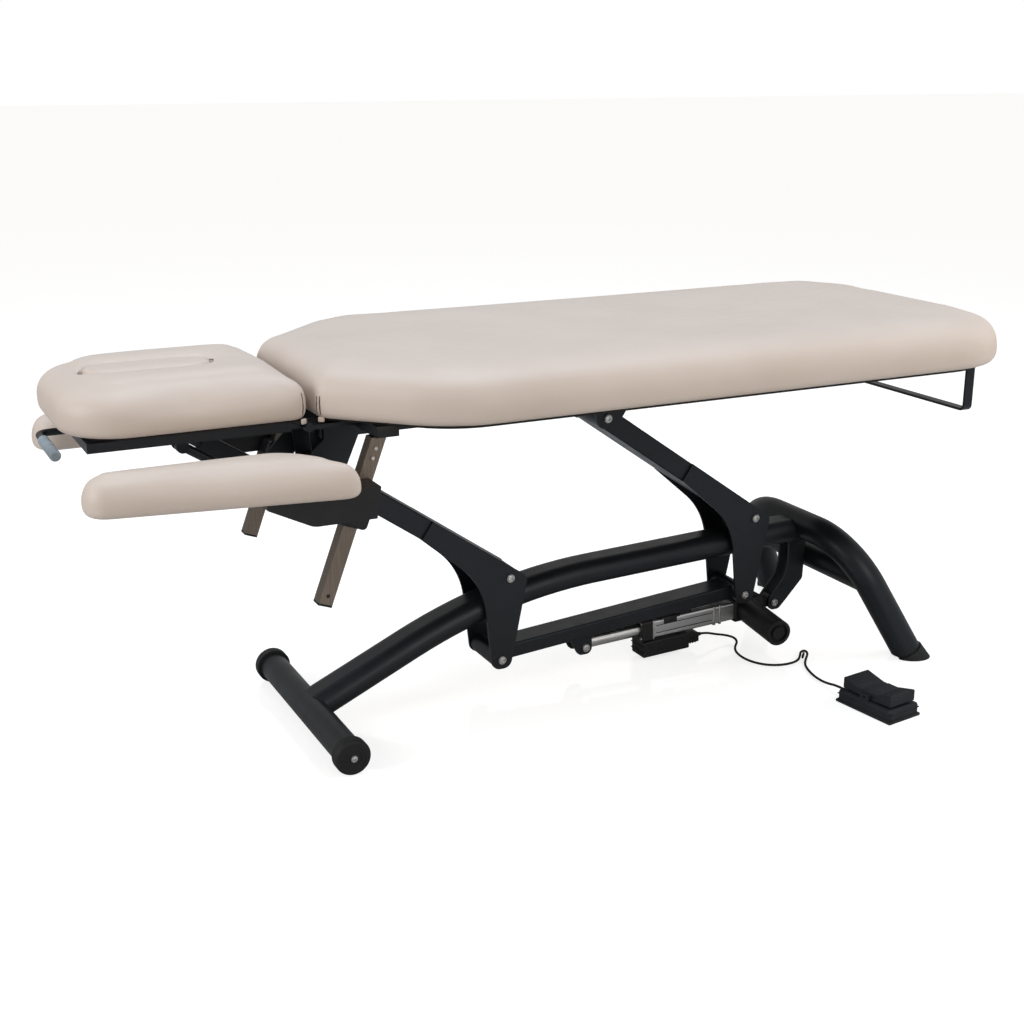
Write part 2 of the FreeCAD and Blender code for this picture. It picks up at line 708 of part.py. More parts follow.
def actuator():
    tail = V(d.rear_pin_x, 0, d.rear_pin_z)
    eye = V(d.rod_pin_x, 0, d.rod_pin_z + d.rod_offset)
    along = (tail - eye).normalize()
    pitch = math.atan2(along.z, along.x)
    turn = FreeCAD.Rotation(Y_AXIS, -pitch / radian)
    down = V(along.z, 0, -along.x)

    def at(x):
        return eye + along * ((x - eye.x) / along.x)

    nose_end = d.nose_x + d.nose_length
    case_end = nose_end + d.case_length
    gear_end = case_end + d.gear_length
    rod_length = case_end - d.rod_pin_x - d.rod_tail
    shaft = rod("rod_shaft", "rod_radius", f"{rod_length}", eye, along)
    knob = cross_rod("rod_eye_disc", "rod_eye_radius", "rod_eye_width", eye.x, eye.z)
    node("actuator_rod", fuse("rod_piece", shaft, knob))
    bore = rod("case_bore", "rod_radius + rod_clearance", f"{case_end - d.nose_x} + cut_margin",
               at(d.nose_x - d.cut_margin), along)
    nose = box("nose_block", "nose_length", "nose_size", "nose_size", at(d.nose_x + d.nose_length / 2), turn)
    nose_soft = rounded("nose_soft", nose, "case_wall",
                        lies_along(along))
    node("actuator_nose", cut("nose_bored", nose_soft, bore))
    case = box("case_block", "case_length", "case_size", "case_size", at(nose_end + d.case_length / 2), turn)
    case_soft = rounded("case_soft", case, "case_wall",
                        lies_along(along))
    node("actuator_case", cut("case_bored", case_soft, bore))
    gear = box("gear_block", "gear_length", "gear_size", "gear_size", at(case_end + d.gear_length / 2), turn)
    gear_soft = rounded("gear_soft", gear, "case_wall", every)
    tail_start = at(gear_end - d.case_wall)
    tail_length = (tail - tail_start).Length
    neck = box("tail_neck", f"{tail_length}", "tail_thick", "tail_thick", (tail + tail_start) * 0.5, turn)
    tail_disc = cross_rod("tail_disc", "rod_eye_radius", "tail_thick", tail.x, tail.z)
    tail_bore = cross_rod("tail_bore", "pin_radius + pin_clearance", "4 * tail_thick", tail.x, tail.z)
    node("actuator_gearbox", cut("gearbox", fuse("gear_parts", gear_soft, neck, tail_disc), tail_bore))
    sweep = d.motor_sweep * radian
    motor_way = V(-math.sin(sweep), -math.cos(sweep), math.tan(d.motor_rise * radian)).normalize()
    root = at(case_end + d.gear_length / 2)
    motor = Part.makeCylinder(d.motor_radius, d.motor_length, root, motor_way)
    room = Part.makeBox(d.gear_length, d.gear_size, d.gear_size,
                        V(-d.gear_length / 2, -d.gear_size / 2, -d.gear_size / 2))
    room.Placement = FreeCAD.Placement(root, turn)
    node("actuator_motor", shaped("motor", motor.cut(room)))
    end = root + motor_way * d.motor_length
    cap = Part.makeCylinder(d.motor_radius, d.motor_cap_length, end, motor_way)
    ring_low = end + motor_way * (d.motor_cap_length / 2)
    recess = Part.makeCylinder(d.motor_radius - d.motor_rim, d.motor_cap_length, ring_low, motor_way)
    boss = Part.makeCylinder(d.motor_boss_radius, d.motor_cap_length / 2, ring_low, motor_way)
    node("motor_end_cap", shaped("motor_cap", cap.cut(recess).fuse(boss).removeSplitter()))
    drop = d.case_size / 2 + d.box_height / 2
    box_middle = at(d.nose_x + d.box_length / 2) + down * (d.nose_size / 2 + d.box_height / 2)
    tray = box("control_tray", "box_length", "box_width", "box_height", box_middle, turn)
    foot_middle = at(nose_end + d.box_length / 4) + down * drop
    hanger = box("control_hanger", "box_length / 2", "case_size", "box_height", foot_middle, turn)
    tray_soft = rounded("control_soft", tray, "case_wall / 2", every)
    tray_hung = fuse("control", tray_soft, hanger)
    plug_middle = box_middle + along * (d.box_length / 2 + d.plug_length / 2) + down * d.plug_drop
    plug_block = box("control_plug_block", "plug_length", "box_width * 0.6", "box_height * 0.6",
                     plug_middle, turn)
    node("control_plug", rounded("plug_soft", plug_block, "case_wall / 3", every))
    clip_middle = at(nose_end + d.clip_back) - down * (d.case_size / 2 + d.clip_thick / 2)
    clip = box("case_clip", "plug_length", "case_size * 0.8", "clip_thick", clip_middle, turn)
    clip_soft = rounded("clip_soft", clip, "clip_thick / 4", every)
    node("control_box", group("control_pieces", tray_hung, clip_soft))
    return plug_middle + along * (d.plug_length / 2), along


def actuator_bracket():
    """Two curved plates from the underside of the beam down to the rear actuator pin."""
    top = "(arch_top_z - beam_depth / 2 - rear_pin_z - bracket_weld)"
    eye, waist = "bracket_eye_radius", "2 * bracket_weld"
    corners = [("bracket_front", top), ("bracket_back", top), ("bracket_back - bracket_weld", "bracket_knee"),
               (f"2 * {eye} - bracket_weld", "0"), (f"{eye} - bracket_weld", f"-{eye}"),
               (f"bracket_weld - {eye}", f"-{eye}"), (f"bracket_weld - {eye}", "bracket_thick"),
               (f"bracket_front - {waist}", f"bracket_knee + {waist}"),
               ("bracket_front", f"2 * bracket_knee - {waist}")]
    rounds = {2: "bracket_gap / 2", 4: "bracket_eye_radius * 0.75", 5: "bracket_eye_radius * 0.75",
              7: "bracket_gap"}
    inner = d.bracket_gap / 2
    plates = plate_pair("rear_bracket", corners, "bracket_thick", d.rear_pin_x, d.rear_pin_z, inner, rounds)
    hole = cross_rod("bracket_hole", "pin_radius", "4 * bracket_gap", d.rear_pin_x, d.rear_pin_z)
    trimmed = shaped("bracket_room", beam_solid(0).fuse(arch_solid(0)))
    node("actuator_bracket", cut("bracket_drilled", plates, hole, trimmed))
    return bolt("rear_pin", V(d.rear_pin_x, 0, d.rear_pin_z), "bracket_gap + 2 * bracket_thick")


# Top frame under the main cushion

def top_frame():
    rail_middle = d.board_bottom - d.cross_height - d.rail_height / 2
    inner = d.arm_tube_width / 2 + d.side_clearance
    rail_y = inner + d.frame_plate_thick + d.rail_width / 2
    rails = []
    for sign in (1, -1):
        centre = V((d.rail_start + d.rail_end) / 2, sign * rail_y, rail_middle)
        outside = box(f"rail_outside_{sign}", "rail_end - rail_start", "rail_width", "rail_height", centre)
        inside = box(f"rail_inside_{sign}", "rail_end - rail_start + cut_margin",
                     "rail_width - 2 * post_wall", "rail_height - 2 * post_wall", centre)
        rails.append(cut(f"rail_{sign}", outside, inside))
    for number in range(4):
        x = d.cross_first + (d.cross_last - d.cross_first) * number / 3
        centre = V(x, 0, d.board_bottom - d.cross_height / 2)
        outside = box(f"cross_outside_{number}", "cross_width", "2 * cross_reach", "cross_height", centre)
        inside = box(f"cross_inside_{number}", "cross_width - 2 * post_wall", "2 * cross_reach + cut_margin",
                     "cross_height - 2 * post_wall", centre)
        rails.append(cut(f"cross_{number}", outside, inside))
    node("frame_rails", group("rails", *rails))
    rail_top = d.board_bottom - d.cross_height
    pairs = []
    for label, pivot in (("front_frame_plates", front_top_pivot), ("rear_frame_plates", rear_top_pivot)):
        rise = rail_top - pivot.z
        corners = [("-frame_plate_half", f"{rise}"), ("frame_plate_half + frame_plate_back", f"{rise}"),
                   ("bush_radius", "-bush_radius"), ("-bush_radius", "-bush_radius")]
        plates = plate_pair(label, corners, "frame_plate_thick", pivot.x, pivot.z, inner,
                            {2: "bush_radius * 0.9", 3: "bush_radius * 0.9"})
        hole = cross_rod(label + "_hole", "pin_radius", "2 * arm_tube_width", pivot.x, pivot.z)
        pairs.append(cut(label + "_drilled", plates, hole))
    node("frame_pivot_plates", group("pivot_plate_set", *pairs))
    bolts = [bolt(end + "_top_bolt", at, "arm_tube_width + 2 * side_clearance + 2 * frame_plate_thick")
             for end, at in (("front", front_top_pivot), ("rear", rear_top_pivot))]
    node("frame_pivot_bolts", group("top_bolts", *bolts, *struts()))


# Cushions: one outline in plan, drawn in or let out at each level and lofted

def main_outline():
    """Corners, their rounds, and how much of the roll each side takes; less where the head section meets."""
    half, head_half = d.pad_width / 2, d.pad_head_width / 2
    full = d.pad_head_x + d.pad_taper_length
    points = [V(d.pad_head_x, -head_half, 0), V(full, -half, 0), V(d.pad_foot_x, -half, 0),
              V(d.pad_foot_x, half, 0), V(full, half, 0), V(d.pad_head_x, head_half, 0)]
    small, big = d.pad_corner_radius, d.pad_foot_corner
    return points, [small, big, big, big, big, small], [1, 1, 1, 1, 1, d.joint_roll_share]


def head_outline():
    half = d.head_width / 2
    near = d.pad_head_x - d.head_gap
    far = near - d.head_length
    points = [V(far, -half, 0), V(near, -half, 0), V(near, half, 0), V(far, half, 0)]
    small, big = d.pad_corner_radius, d.head_corner_radius
    return points, [big, small, small, big], [1, d.joint_roll_share, 1, 1]


def arm_outline(sign):
    """A boat: straight inside, clear of the head cushion, and running out to a point at the foot end."""
    head, foot, inside = d.armrest_head_x, d.armrest_foot_x, d.armrest_inside
    corners = [(head, inside), (foot - d.armrest_swell_foot, inside), (foot, d.armrest_outside),
               (head, d.armrest_tip_outside)]
    tip, swell, end = d.armrest_tip_radius, d.armrest_swell_radius, d.armrest_foot_radius
    return [V(x, sign * y, 0) for x, y in corners], [tip, swell, end, tip], [1] * len(corners)


def drawn_in(outline, inset, height):
    """The wire of an outline moved in by one distance; its rounds shrink with it down to a least size."""
    points, radii, shares = outline
    sides = [(b - a).normalize() for a, b in zip(points, points[1:] + points[:1])]
    area = sum(a.cross(b).z for a, b in zip(points, points[1:] + points[:1]))
    inward = [Z_AXIS.cross(side) * math.copysign(1, area) for side in sides]
    moved, rounds = [], []
    for i, point in enumerate(points):
        back, on = inward[i - 1], inward[i]
        lean = back.dot(on)
        from_back, from_on = inset * shares[i - 1], inset * shares[i]
        step = back * (from_back - lean * from_on) + on * (from_on - lean * from_back)
        moved.append(point + step * (1 / (1 - lean * lean)) + Z_AXIS * height)
        rounds.append(max(radii[i] - inset, d.pad_corner_least))
    return path_wire(moved, rounds, closed=True)


# Share of the side's height, and how far the roll has drawn the outline in there
SIDE_LEVELS = ((0, 0.2), (0.17, 0), (0.5, 0), (0.8, 0.14), (0.95, 0.5), (1, 0.85))
CROWN_INSET = 1.3


def cushion(outline, bottom, thick, roll, crown):
    """A closed loft: drawn-in foot, full sides, rolled top edge and a low crown."""
    levels = [(share * (thick - crown), inset * roll) for share, inset in SIDE_LEVELS]
    levels.append((thick, CROWN_INSET * roll))
    wires = [drawn_in(outline, inset, bottom + height) for height, inset in levels]
    return Part.makeLoft(wires, True, False)


def board(outline, inset):
    return Part.Face(drawn_in(outline, inset, d.board_bottom)).extrude(Z_AXIS * d.board_thick)


def slot_solid(extra, low, high):
    """The face slot in the head cushion, rounded at both ends."""
    middle = V(d.pad_head_x - d.head_gap - d.slot_centre, 0, 0)
    half, run = d.slot_width / 2 + extra, (d.slot_length - d.slot_width) / 2
    around = ((-run, -half), (run, -half), (run + half, 0), (run, half), (-run, half), (-run - half, 0))
    spots = [middle + V(x, y, low) for x, y in around]
    wire = Part.Wire([
        Part.LineSegment(spots[0], spots[1]).toShape(), Part.Arc(spots[1], spots[2], spots[3]).toShape(),
        Part.LineSegment(spots[3], spots[4]).toShape(), Part.Arc(spots[4], spots[5], spots[0]).toShape()])
    return Part.Face(wire).extrude(Z_AXIS * (high - low))


def cushions():
    """Foam and vinyl over a board: the cover comes down round the edge of the board."""
    low = d.board_bottom + d.cover_lift
    outline = main_outline()
    ply = board(outline, d.board_inset)
    whole = cushion(outline, low, pad_bottom + d.pad_thick - low, d.pad_roll, d.pad_crown)
    node("main_pad", shaped("main_cushion", whole.cut(ply)))
    node("main_board", shaped("main_ply", ply))
    outline = head_outline()
    ply = board(outline, d.board_inset)
    top = pad_bottom + d.head_thick
    whole = cushion(outline, low, top - low, d.pad_roll, d.pad_crown)
    slot = slot_solid(0, d.board_bottom - d.cut_margin, top + d.cut_margin)
    node("head_pad", shaped("head_cushion", whole.cut(slot).cut(ply)))
    node("head_board", shaped("head_ply", ply.cut(slot)))
    plug = whole.common(slot_solid(-d.plug_clearance, pad_bottom, top + d.cut_margin))
    node("face_plug", shaped("plug_cushion", plug))


# Head section: rails, hinge, strut and release lever

hinge_x = d.pad_head_x - d.head_gap / 2
hinge_z = d.board_bottom - d.hinge_drop


def head_section():
    """Two rails and two cross bars under the head board, with the hinge and the lever on them."""
    near = d.pad_head_x - d.head_gap
    far = near - d.head_length
    rail_y = d.head_width / 2 - d.head_rail_inset - d.head_rail_width / 2
    rail_z = d.board_bottom - d.head_rail_height / 2
    length = "head_length - head_rail_inset - knuckle_radius - head_rail_gap"
    rail_far = far + d.head_rail_inset
    rail_middle = rail_far + value(length) / 2
    rails = [box(f"head_rail_{sign}", length, "head_rail_width", "head_rail_height",
                 V(rail_middle, sign * rail_y, rail_z)) for sign in (1, -1)]
    node("head_rails", group("head_rail_pair", *rails))
    between = "head_width - 2 * head_rail_inset - 2 * head_rail_width"
    cross_at = (rail_far + d.head_rail_width / 2, rail_far + value(length) - d.head_rail_width / 2)
    crosses = [box(f"head_cross_{number}", "head_rail_width", between, "head_rail_height", V(x, 0, rail_z))
               for number, x in enumerate(cross_at)]
    shaft_hole = rod("lever_hole", "lever_radius + pin_clearance", "3 * head_rail_width",
                     V(rail_far - d.head_rail_width, 0, rail_z), X_AXIS)
    drilled = cut("head_cross_drilled", crosses[0], shaft_hole)
    node("head_cross_bars", group("head_crosses", drilled, crosses[1]))
    hinge(rail_y, rail_far + value(length))
    lever(rail_far, rail_z)


def hinge(rail_y, rail_end):
    """Knuckles on the frame and on the head rails around one pin on each side."""
    pins, fixed, moving = [], [], []
    for sign in (1, -1):
        y = sign * rail_y
        wide = d.head_rail_width
        pin = cross_rod(f"hinge_pin_{sign}", "hinge_radius", "3 * head_rail_width", hinge_x, hinge_z, y)
        pins.append(pin)
        knuckle = Part.makeCylinder(d.knuckle_radius, wide, V(hinge_x, y - wide / 2, hinge_z), Y_AXIS)
        web = Part.makeBox(hinge_x - rail_end, wide, d.knuckle_radius,
                           V(rail_end, y - wide / 2, hinge_z - d.knuckle_radius / 2))
        hole = Part.makeCylinder(d.hinge_radius, 4 * wide, V(hinge_x, y - 2 * wide, hinge_z), Y_AXIS)
        moving.append(knuckle.fuse(web).cut(hole).removeSplitter())
        for step in (1, -1):
            start = y + step * (wide + d.side_clearance) - wide / 2
            run = d.cross_first - d.cross_width / 2 - hinge_x
            ear = Part.makeCylinder(d.knuckle_radius, wide, V(hinge_x, start, hinge_z), Y_AXIS)
            leaf_low = hinge_z - d.knuckle_radius / 2
            leaf = Part.makeBox(run, wide, d.knuckle_radius, V(hinge_x, start, leaf_low))
            room_start = V(hinge_x, start - d.cut_margin, hinge_z)
            room = Part.makeCylinder(d.hinge_radius + d.pin_clearance, 2 * wide, room_start, Y_AXIS)
            fixed.append(ear.fuse(leaf).cut(room).removeSplitter())
    knuckles = shaped("moving_knuckles", Part.makeCompound(moving))
    node("head_hinge", group("hinge_pieces", knuckles, *pins))
    node("frame_hinge_leaves", shaped("fixed_leaves", Part.makeCompound(fixed)))


def lever(rail_far, rail_z):
    bend = V(rail_far - d.lever_out, 0, rail_z)
    shaft_start = V(rail_far + d.head_rail_width + d.lever_tail, 0, rail_z)
    tip = bend - Y_AXIS * d.lever_reach
    wire = path_wire([shaft_start, bend, tip], {1: 3 * d.lever_radius})
    section = ring_section(shaft_start, X_AXIS, d.lever_radius)
    node("release_lever", shaped("lever_bar", pipe(wire, section)))
    grip_start = tip + Y_AXIS * (d.grip_length - d.grip_radius)
    grip = Part.makeCylinder(d.grip_radius, d.grip_length, grip_start, Y_AXIS * -1)
    soft = grip.makeFillet(d.grip_radius * 0.6, [edge for edge in grip.Edges if is_circle(edge)])
    hole = Part.makeCylinder(d.lever_radius, d.grip_length - d.grip_radius, grip_start, Y_AXIS * -1)
    node("lever_grip", shaped("grip", soft.cut(hole)))


def struts():
    """A locking gas spring in a flat sleeve on each side, from the frame to a lug under the head board."""
    base = V(d.strut_base_x, 0, d.strut_base_z)
    top = V(d.strut_top_x, 0, d.strut_top_z)
    eye = top - Z_AXIS * d.strut_offset
    along = (eye - base).normalize()
    turn = FreeCAD.Rotation(Y_AXIS, 180 + math.atan2(along.z, -along.x) / radian)
    reach = (eye - base).Length
    rod_start = d.strut_floor + d.strut_stroke
    plate_y = d.arm_tube_width / 2 + d.side_clearance + d.frame_plate_thick + d.rail_width
    strut_y = plate_y + d.frame_plate_thick + d.side_clearance + d.sleeve_width / 2
    rail_low = d.board_bottom - d.cross_height - d.rail_height
    rail_top = rail_low + d.rail_height
    hang = d.rail_start - base.x
    drop_corners = [(f"{hang}", f"{rail_top - base.z}"),
                    (f"{hang} + strut_plate_width", f"{rail_top - base.z}"),
                    (f"{hang} + strut_plate_width", f"{rail_low - base.z}"),
                    ("strut_ear_radius", "-strut_ear_radius"), ("-strut_ear_radius", "-strut_ear_radius"),
                    ("-strut_ear_radius", "strut_ear_radius / 2"), (f"{hang}", f"{rail_low - base.z}")]
    ear_round = "strut_ear_radius * 0.8"
    drops = plate_pair("strut_drop", drop_corners, "frame_plate_thick", base.x, base.z, plate_y,
                       {3: ear_round, 4: ear_round})
    rise = d.board_bottom - top.z
    lug_corners = [("-2 * strut_eye_radius", f"{rise}"), ("2 * strut_eye_radius", f"{rise}"),
                   ("strut_eye_radius", "-strut_eye_radius"), ("-strut_eye_radius", "-strut_eye_radius")]
    lug_round = "strut_eye_radius * 0.8"
    node("strut_lugs", plate_pair("strut_lug", lug_corners, "frame_plate_thick", top.x, top.z, plate_y,
                                  {2: lug_round, 3: lug_round}))
    sleeves, rods, pins = [], [], []
    for side, sign in (("left", 1), ("right", -1)):
        out = Y_AXIS * (sign * strut_y)
        middle = base + along * (d.sleeve_length / 2) + out
        block = box("sleeve_block_" + side, "sleeve_length", "sleeve_width", "sleeve_depth", middle, turn)
        soft = rounded("sleeve_soft_" + side, block, "post_wall", every)
        ear = cross_rod("sleeve_ear_" + side, "strut_ear_radius", "sleeve_width", base.x, base.z, out.y)
        bore = rod("sleeve_bore_" + side, "strut_rod_radius + rod_clearance", "sleeve_length",
                   base + along * d.strut_floor + out, along)
        hole = cross_rod("sleeve_hole_" + side, "pin_radius + pin_clearance", "2 * sleeve_width",
                         base.x, base.z, out.y)
        sleeves.append(cut("sleeve_" + side, fuse("sleeve_parts_" + side, soft, ear), bore, hole))
        shaft = rod("strut_shaft_" + side, "strut_rod_radius", f"{reach - rod_start}",
                    base + along * rod_start + out, along)
        disc = cross_rod("strut_eye_" + side, "strut_eye_radius", "sleeve_width - 2 * post_wall",
                         eye.x, eye.z, out.y)
        rods.append(fuse("strut_rod_" + side, shaft, disc))
        pin_length = "frame_plate_thick + 2 * side_clearance + sleeve_width"
        start = V(base.x, sign * plate_y, base.z)
        shank = rod("strut_shank_" + side, "pin_radius", pin_length, start, Y_AXIS * sign)
        head = rod("strut_head_" + side, "bolt_head_radius", "bolt_head_thick / 2",
                   start + Y_AXIS * (sign * value(pin_length)), Y_AXIS * sign)
        pins.append(fuse("strut_pin_" + side, shank, head))
    node("strut_sleeves", group("sleeve_pair", *sleeves))
    node("strut_rods", group("strut_rod_pair", *rods))
    drop_hole = cross_rod("strut_drop_hole", "pin_radius", "4 * arm_tube_width", base.x, base.z)
    node("strut_brackets", cut("strut_drops_drilled", drops, drop_hole))
    return pins


# Hanging posts and the armrests that slide on them

post_way = V(math.sin(d.post_lean * radian), 0, math.cos(d.post_lean * radian))
post_turn = FreeCAD.Rotation(Y_AXIS, d.post_lean)


def posts():
    top_z = d.board_bottom - d.cross_height
    solids, plugs, bolts = [], [], []
    for sign in (1, -1):
        foot = V(d.post_foot_x, sign * d.post_y, d.post_foot_z)
        length = (top_z - d.post_foot_z) / post_way.z + d.post_size
        middle = foot + post_way * (length / 2)
        outside = box(f"post_outside_{sign}", f"{length}", "post_size", "post_size", middle,
                      FreeCAD.Rotation(Y_AXIS, d.post_lean - 90))
        inside = box(f"post_inside_{sign}", f"{length} * 2", "post_size - 2 * post_wall",
                     "post_size - 2 * post_wall", middle, FreeCAD.Rotation(Y_AXIS, d.post_lean - 90))
        head = foot + post_way * ((top_z - foot.z) / post_way.z)
        above = box(f"post_above_{sign}", "cross_reach", "cross_reach", "cross_reach",
                    head + Z_AXIS * (d.cross_reach / 2))
        solids.append(cut(f"post_{sign}", outside, inside, above))
        plug_at = foot - post_way * (d.post_plug_thick / 2)
        plugs.append(box(f"post_plug_{sign}", "post_size", "post_size", "post_plug_thick",
                         plug_at, post_turn))
        face = sign * (d.post_y + d.post_size / 2)
        for spot in (0, 1):
            spot_z = top_z - d.post_bolt_drop + spot * d.post_bolt_pitch
            spot_x = foot.x + (spot_z - foot.z) * post_way.x / post_way.z
            bolts.append(rod(f"post_bolt_{sign}_{spot}", "screw_radius", "screw_head_thick",
                             V(spot_x, face, spot_z), Y_AXIS * sign))
    node("armrest_posts", group("post_pair", *solids))
    node("post_end_plugs", group("plug_pair", *plugs))
    return bolts


def armrest(side, sign):
    foot = V(d.post_foot_x, sign * d.post_y, d.post_foot_z)
    middle = foot + post_way * ((d.clamp_z - d.post_foot_z) / post_way.z)
    outside = box(side + "_clamp_block", "clamp_length", "clamp_width", "clamp_height", middle, post_turn)
    soft = rounded(side + "_clamp_soft", outside, "clamp_height / 6", every)
    hole = box(side + "_clamp_hole", "post_size + 2 * clamp_clearance", "post_size + 2 * clamp_clearance",
               "4 * clamp_height", middle, post_turn)
    under = d.armrest_bottom - middle.z
    corners = [("-wing_reach", f"{under} - wing_thick"), ("-wing_reach", f"{under}"),
               ("wing_front", f"{under}"), ("wing_root", "-wing_drop"), ("-wing_back", "-wing_drop")]
    wing_middle = sign * (d.wing_y + d.wing_outside - d.wing_width / 2)
    wing_place = V(middle.x, wing_middle + d.wing_width / 2, middle.z)
    wing = plate(side + "_wing", corners, "wing_width", wing_place, {4: "wing_round"})
    node(side + "_armrest_bracket", cut(side + "_bracket", fuse(side + "_bracket_parts", soft, wing), hole))
    knob_start = middle - Y_AXIS * (sign * d.clamp_width / 2) - post_way * (d.clamp_height / 5)
    knob_piece = rod(side + "_knob_disc", "knob_radius", "knob_length", knob_start, Y_AXIS * -sign)
    knob_soft = rounded(side + "_knob_soft", knob_piece, "knob_length / 6", every)
    node(side + "_armrest_knob", knob_soft)
    outline = arm_outline(sign)
    pad = cushion(outline, d.armrest_bottom, d.armrest_thick, d.armrest_roll, d.pad_crown)
    node(side + "_armrest_pad", shaped(side + "_arm_cushion", pad))


# Paper bar: one flat strip bent into a wide loop under the foot end

def paper_bar():
    low, high = d.board_bottom - d.strip_drop, d.board_bottom
    inner = d.strip_y - d.strip_thick

    middle = d.strip_thick / 2
    y, bottom, top = inner + middle, low + middle, high - middle
    inward = y - d.strip_flange
    points = [V(d.strip_x, -inward, top), V(d.strip_x, -y, top), V(d.strip_x, -y, bottom),
              V(d.strip_x, y, bottom), V(d.strip_x, y, top), V(d.strip_x, inward, top)]
    wire = path_wire(points, {turn: d.strip_corner for turn in (1, 2, 3, 4)})
    half = d.strip_width / 2
    around = ((-half, -middle), (half, -middle), (half, middle), (-half, middle), (-half, -middle))
    section = Part.makePolygon([points[0] + V(x, 0, z) for x, z in around])
    node("paper_bar", shaped("strip", pipe(wire, section)))
    screws = []
    for sign in (1, -1):
        y = sign * (inner - d.strip_flange * 0.6)
        screws.append(rod(f"strip_screw_{sign}", "screw_head_radius", "screw_head_thick",
                          V(d.strip_x, y, high - d.strip_thick), Z_AXIS * -1))
    return screws


# Foot switch: skirted base, one rocker and the cable that leads to the control box

switch_turn = FreeCAD.Rotation(Z_AXIS, d.switch_turn)


def foot_switch():
    centre = V(d.switch_x, d.switch_y, 0)
    low = box("switch_block", "switch_width", "switch_length", "switch_height",
              centre + Z_AXIS * (d.switch_height / 2), switch_turn)
    soft = rounded("switch_soft", low, "switch_height / 4",
                   lambda edge: edge.CenterOfMass.z > 1)
    axle_z = d.switch_height + d.rocker_clearance + d.rocker_axle
    ears = []
    ear_x = d.switch_width / 2 - d.rocker_margin / 2
    for sign in (1, -1):
        place = centre + switch_turn.multVec(V(sign * ear_x, 0, 0)) + Z_AXIS * axle_z / 2
        ears.append(box(f"switch_ear_{sign}", "rocker_margin - rocker_clearance", "switch_length / 6",
                        f"{axle_z} + 2 * trunnion_radius", place + Z_AXIS * d.trunnion_radius, switch_turn))
    across = switch_turn.multVec(X_AXIS)
    axle = centre + Z_AXIS * axle_z
    seat = rod("trunnion_seat", "trunnion_radius + pin_clearance", "2 * switch_width",
               axle - across * d.switch_width, across)
    node("foot_switch_base", cut("switch_bored", fuse("switch_parts", soft, *ears), seat))
    wide = d.switch_width - 2 * d.rocker_margin - d.rocker_clearance
    half = d.switch_length / 2 - d.rocker_margin
    under, top = d.switch_height + d.rocker_clearance, d.switch_height + d.rocker_clearance + d.rocker_height
    ends, saddle = under + d.rocker_lift, top - d.rocker_dip
    points = [V(0, -half, ends), V(0, 0, under), V(0, half, ends), V(0, half, top),
              V(0, half / 4, saddle), V(0, -half / 4, saddle), V(0, -half, top)]
    face = Part.Face(Part.makePolygon(points + points[:1]))
    face.translate(V(-wide / 2, 0, 0))
    rocker = face.extrude(X_AXIS * wide)
    top_edges = [edge for edge in rocker.Edges if edge.CenterOfMass.z > saddle - NEAR]
    rocker = rocker.makeFillet(d.rocker_height / 8, top_edges)
    axle_length = wide + 2 * d.trunnion_length
    trunnions = Part.makeCylinder(d.trunnion_radius, axle_length, V(-axle_length / 2, 0, axle_z), X_AXIS)
    rocker = rocker.fuse(trunnions).removeSplitter()
    rocker.Placement = FreeCAD.Placement(centre, switch_turn)
    node("foot_switch_rocker", shaped("rocker", rocker))
    exit_point = centre + switch_turn.multVec(V(-d.gland_side, d.switch_length / 2, d.gland_height))
    out = switch_turn.multVec(Y_AXIS)
    gland = Part.makeCone(d.gland_radius, d.cable_radius * 1.3, d.gland_length, exit_point, out)
    node("cable_gland", shaped("gland", gland))
    return exit_point + out * d.gland_length, out


# Points of the cable between the control plug and the foot switch: out of the plug, down to the
# floor, a wide bow, one tight fold and on to the switch
CABLE_ROUTE = [
    (906, 2, 17), (930, -2, 12), (943, -15, 9), (939, -32, 6), (925, -45, 4), (913, -61, 3.2),
    (905, -84, 3.2), (903, -110, 3.2), (909, -135, 3.2), (924, -157, 3.2), (947, -170, 3.2),
    (973, -173, 3.2), (996, -167, 3.2), (1012, -153, 5), (1023, -139, 7), (1035, -138, 8),
    (1033, -151, 7), (1019, -165, 5), (1004, -180, 3.2), (992, -198, 3.2), (982, -224, 3.2),
    (976, -251, 3.2), (975, -275, 3.2), (977, -295, 5),
]


def cable(start, way, end, end_way):
    """The cable from the control plug to the foot switch, along the floor."""
    points = [start, start + way * d.cable_lead]
    points += [V(*spot) for spot in CABLE_ROUTE]
    points += [end + end_way * d.cable_lead, end]
    radii = {}
    for i in range(1, len(points) - 1):
        back, on = points[i - 1] - points[i], points[i + 1] - points[i]
        turn = math.pi - back.getAngle(on)
        radii[i] = 0.45 * min(back.Length, on.Length) / math.tan(turn / 2)
    print("cable radii", [round(radius, 1) for radius in radii.values()])
    wire = path_wire(points, radii)
    tube = pipe(wire, ring_section(start, points[1] - start, d.cable_radius))
    ideal = math.pi * d.cable_radius ** 2 * wire.Length
    print("cable length", round(wire.Length, 1), "volume ratio", round(tube.Volume / ideal, 4))
    node("foot_switch_cable", shaped("cable_tube", tube))


cap_screws = foot_bar()
base_tubes()
pivot_lugs()
arm("rear", rear_pivot, rear_low_pivot, rear_top_pivot)
arm("front", front_pivot, front_low_pivot, front_top_pivot)
link()
plug_end, plug_way = actuator()
rear_pin = actuator_bracket()
node("base_bolts", group("base_bolt_set", *cap_screws, rear_pin))
top_frame()
cushions()
head_section()
post_bolts = posts()
armrest("near", -1)
armrest("far", 1)
strip_screws = paper_bar()
node("frame_screws", group("frame_screw_set", *post_bolts, *strip_screws))
switch_end, switch_way = foot_switch()
cable(plug_end, plug_way, switch_end, switch_way)
doc.recompute()

# Move every piece together, so that the origin is the middle of the floor box

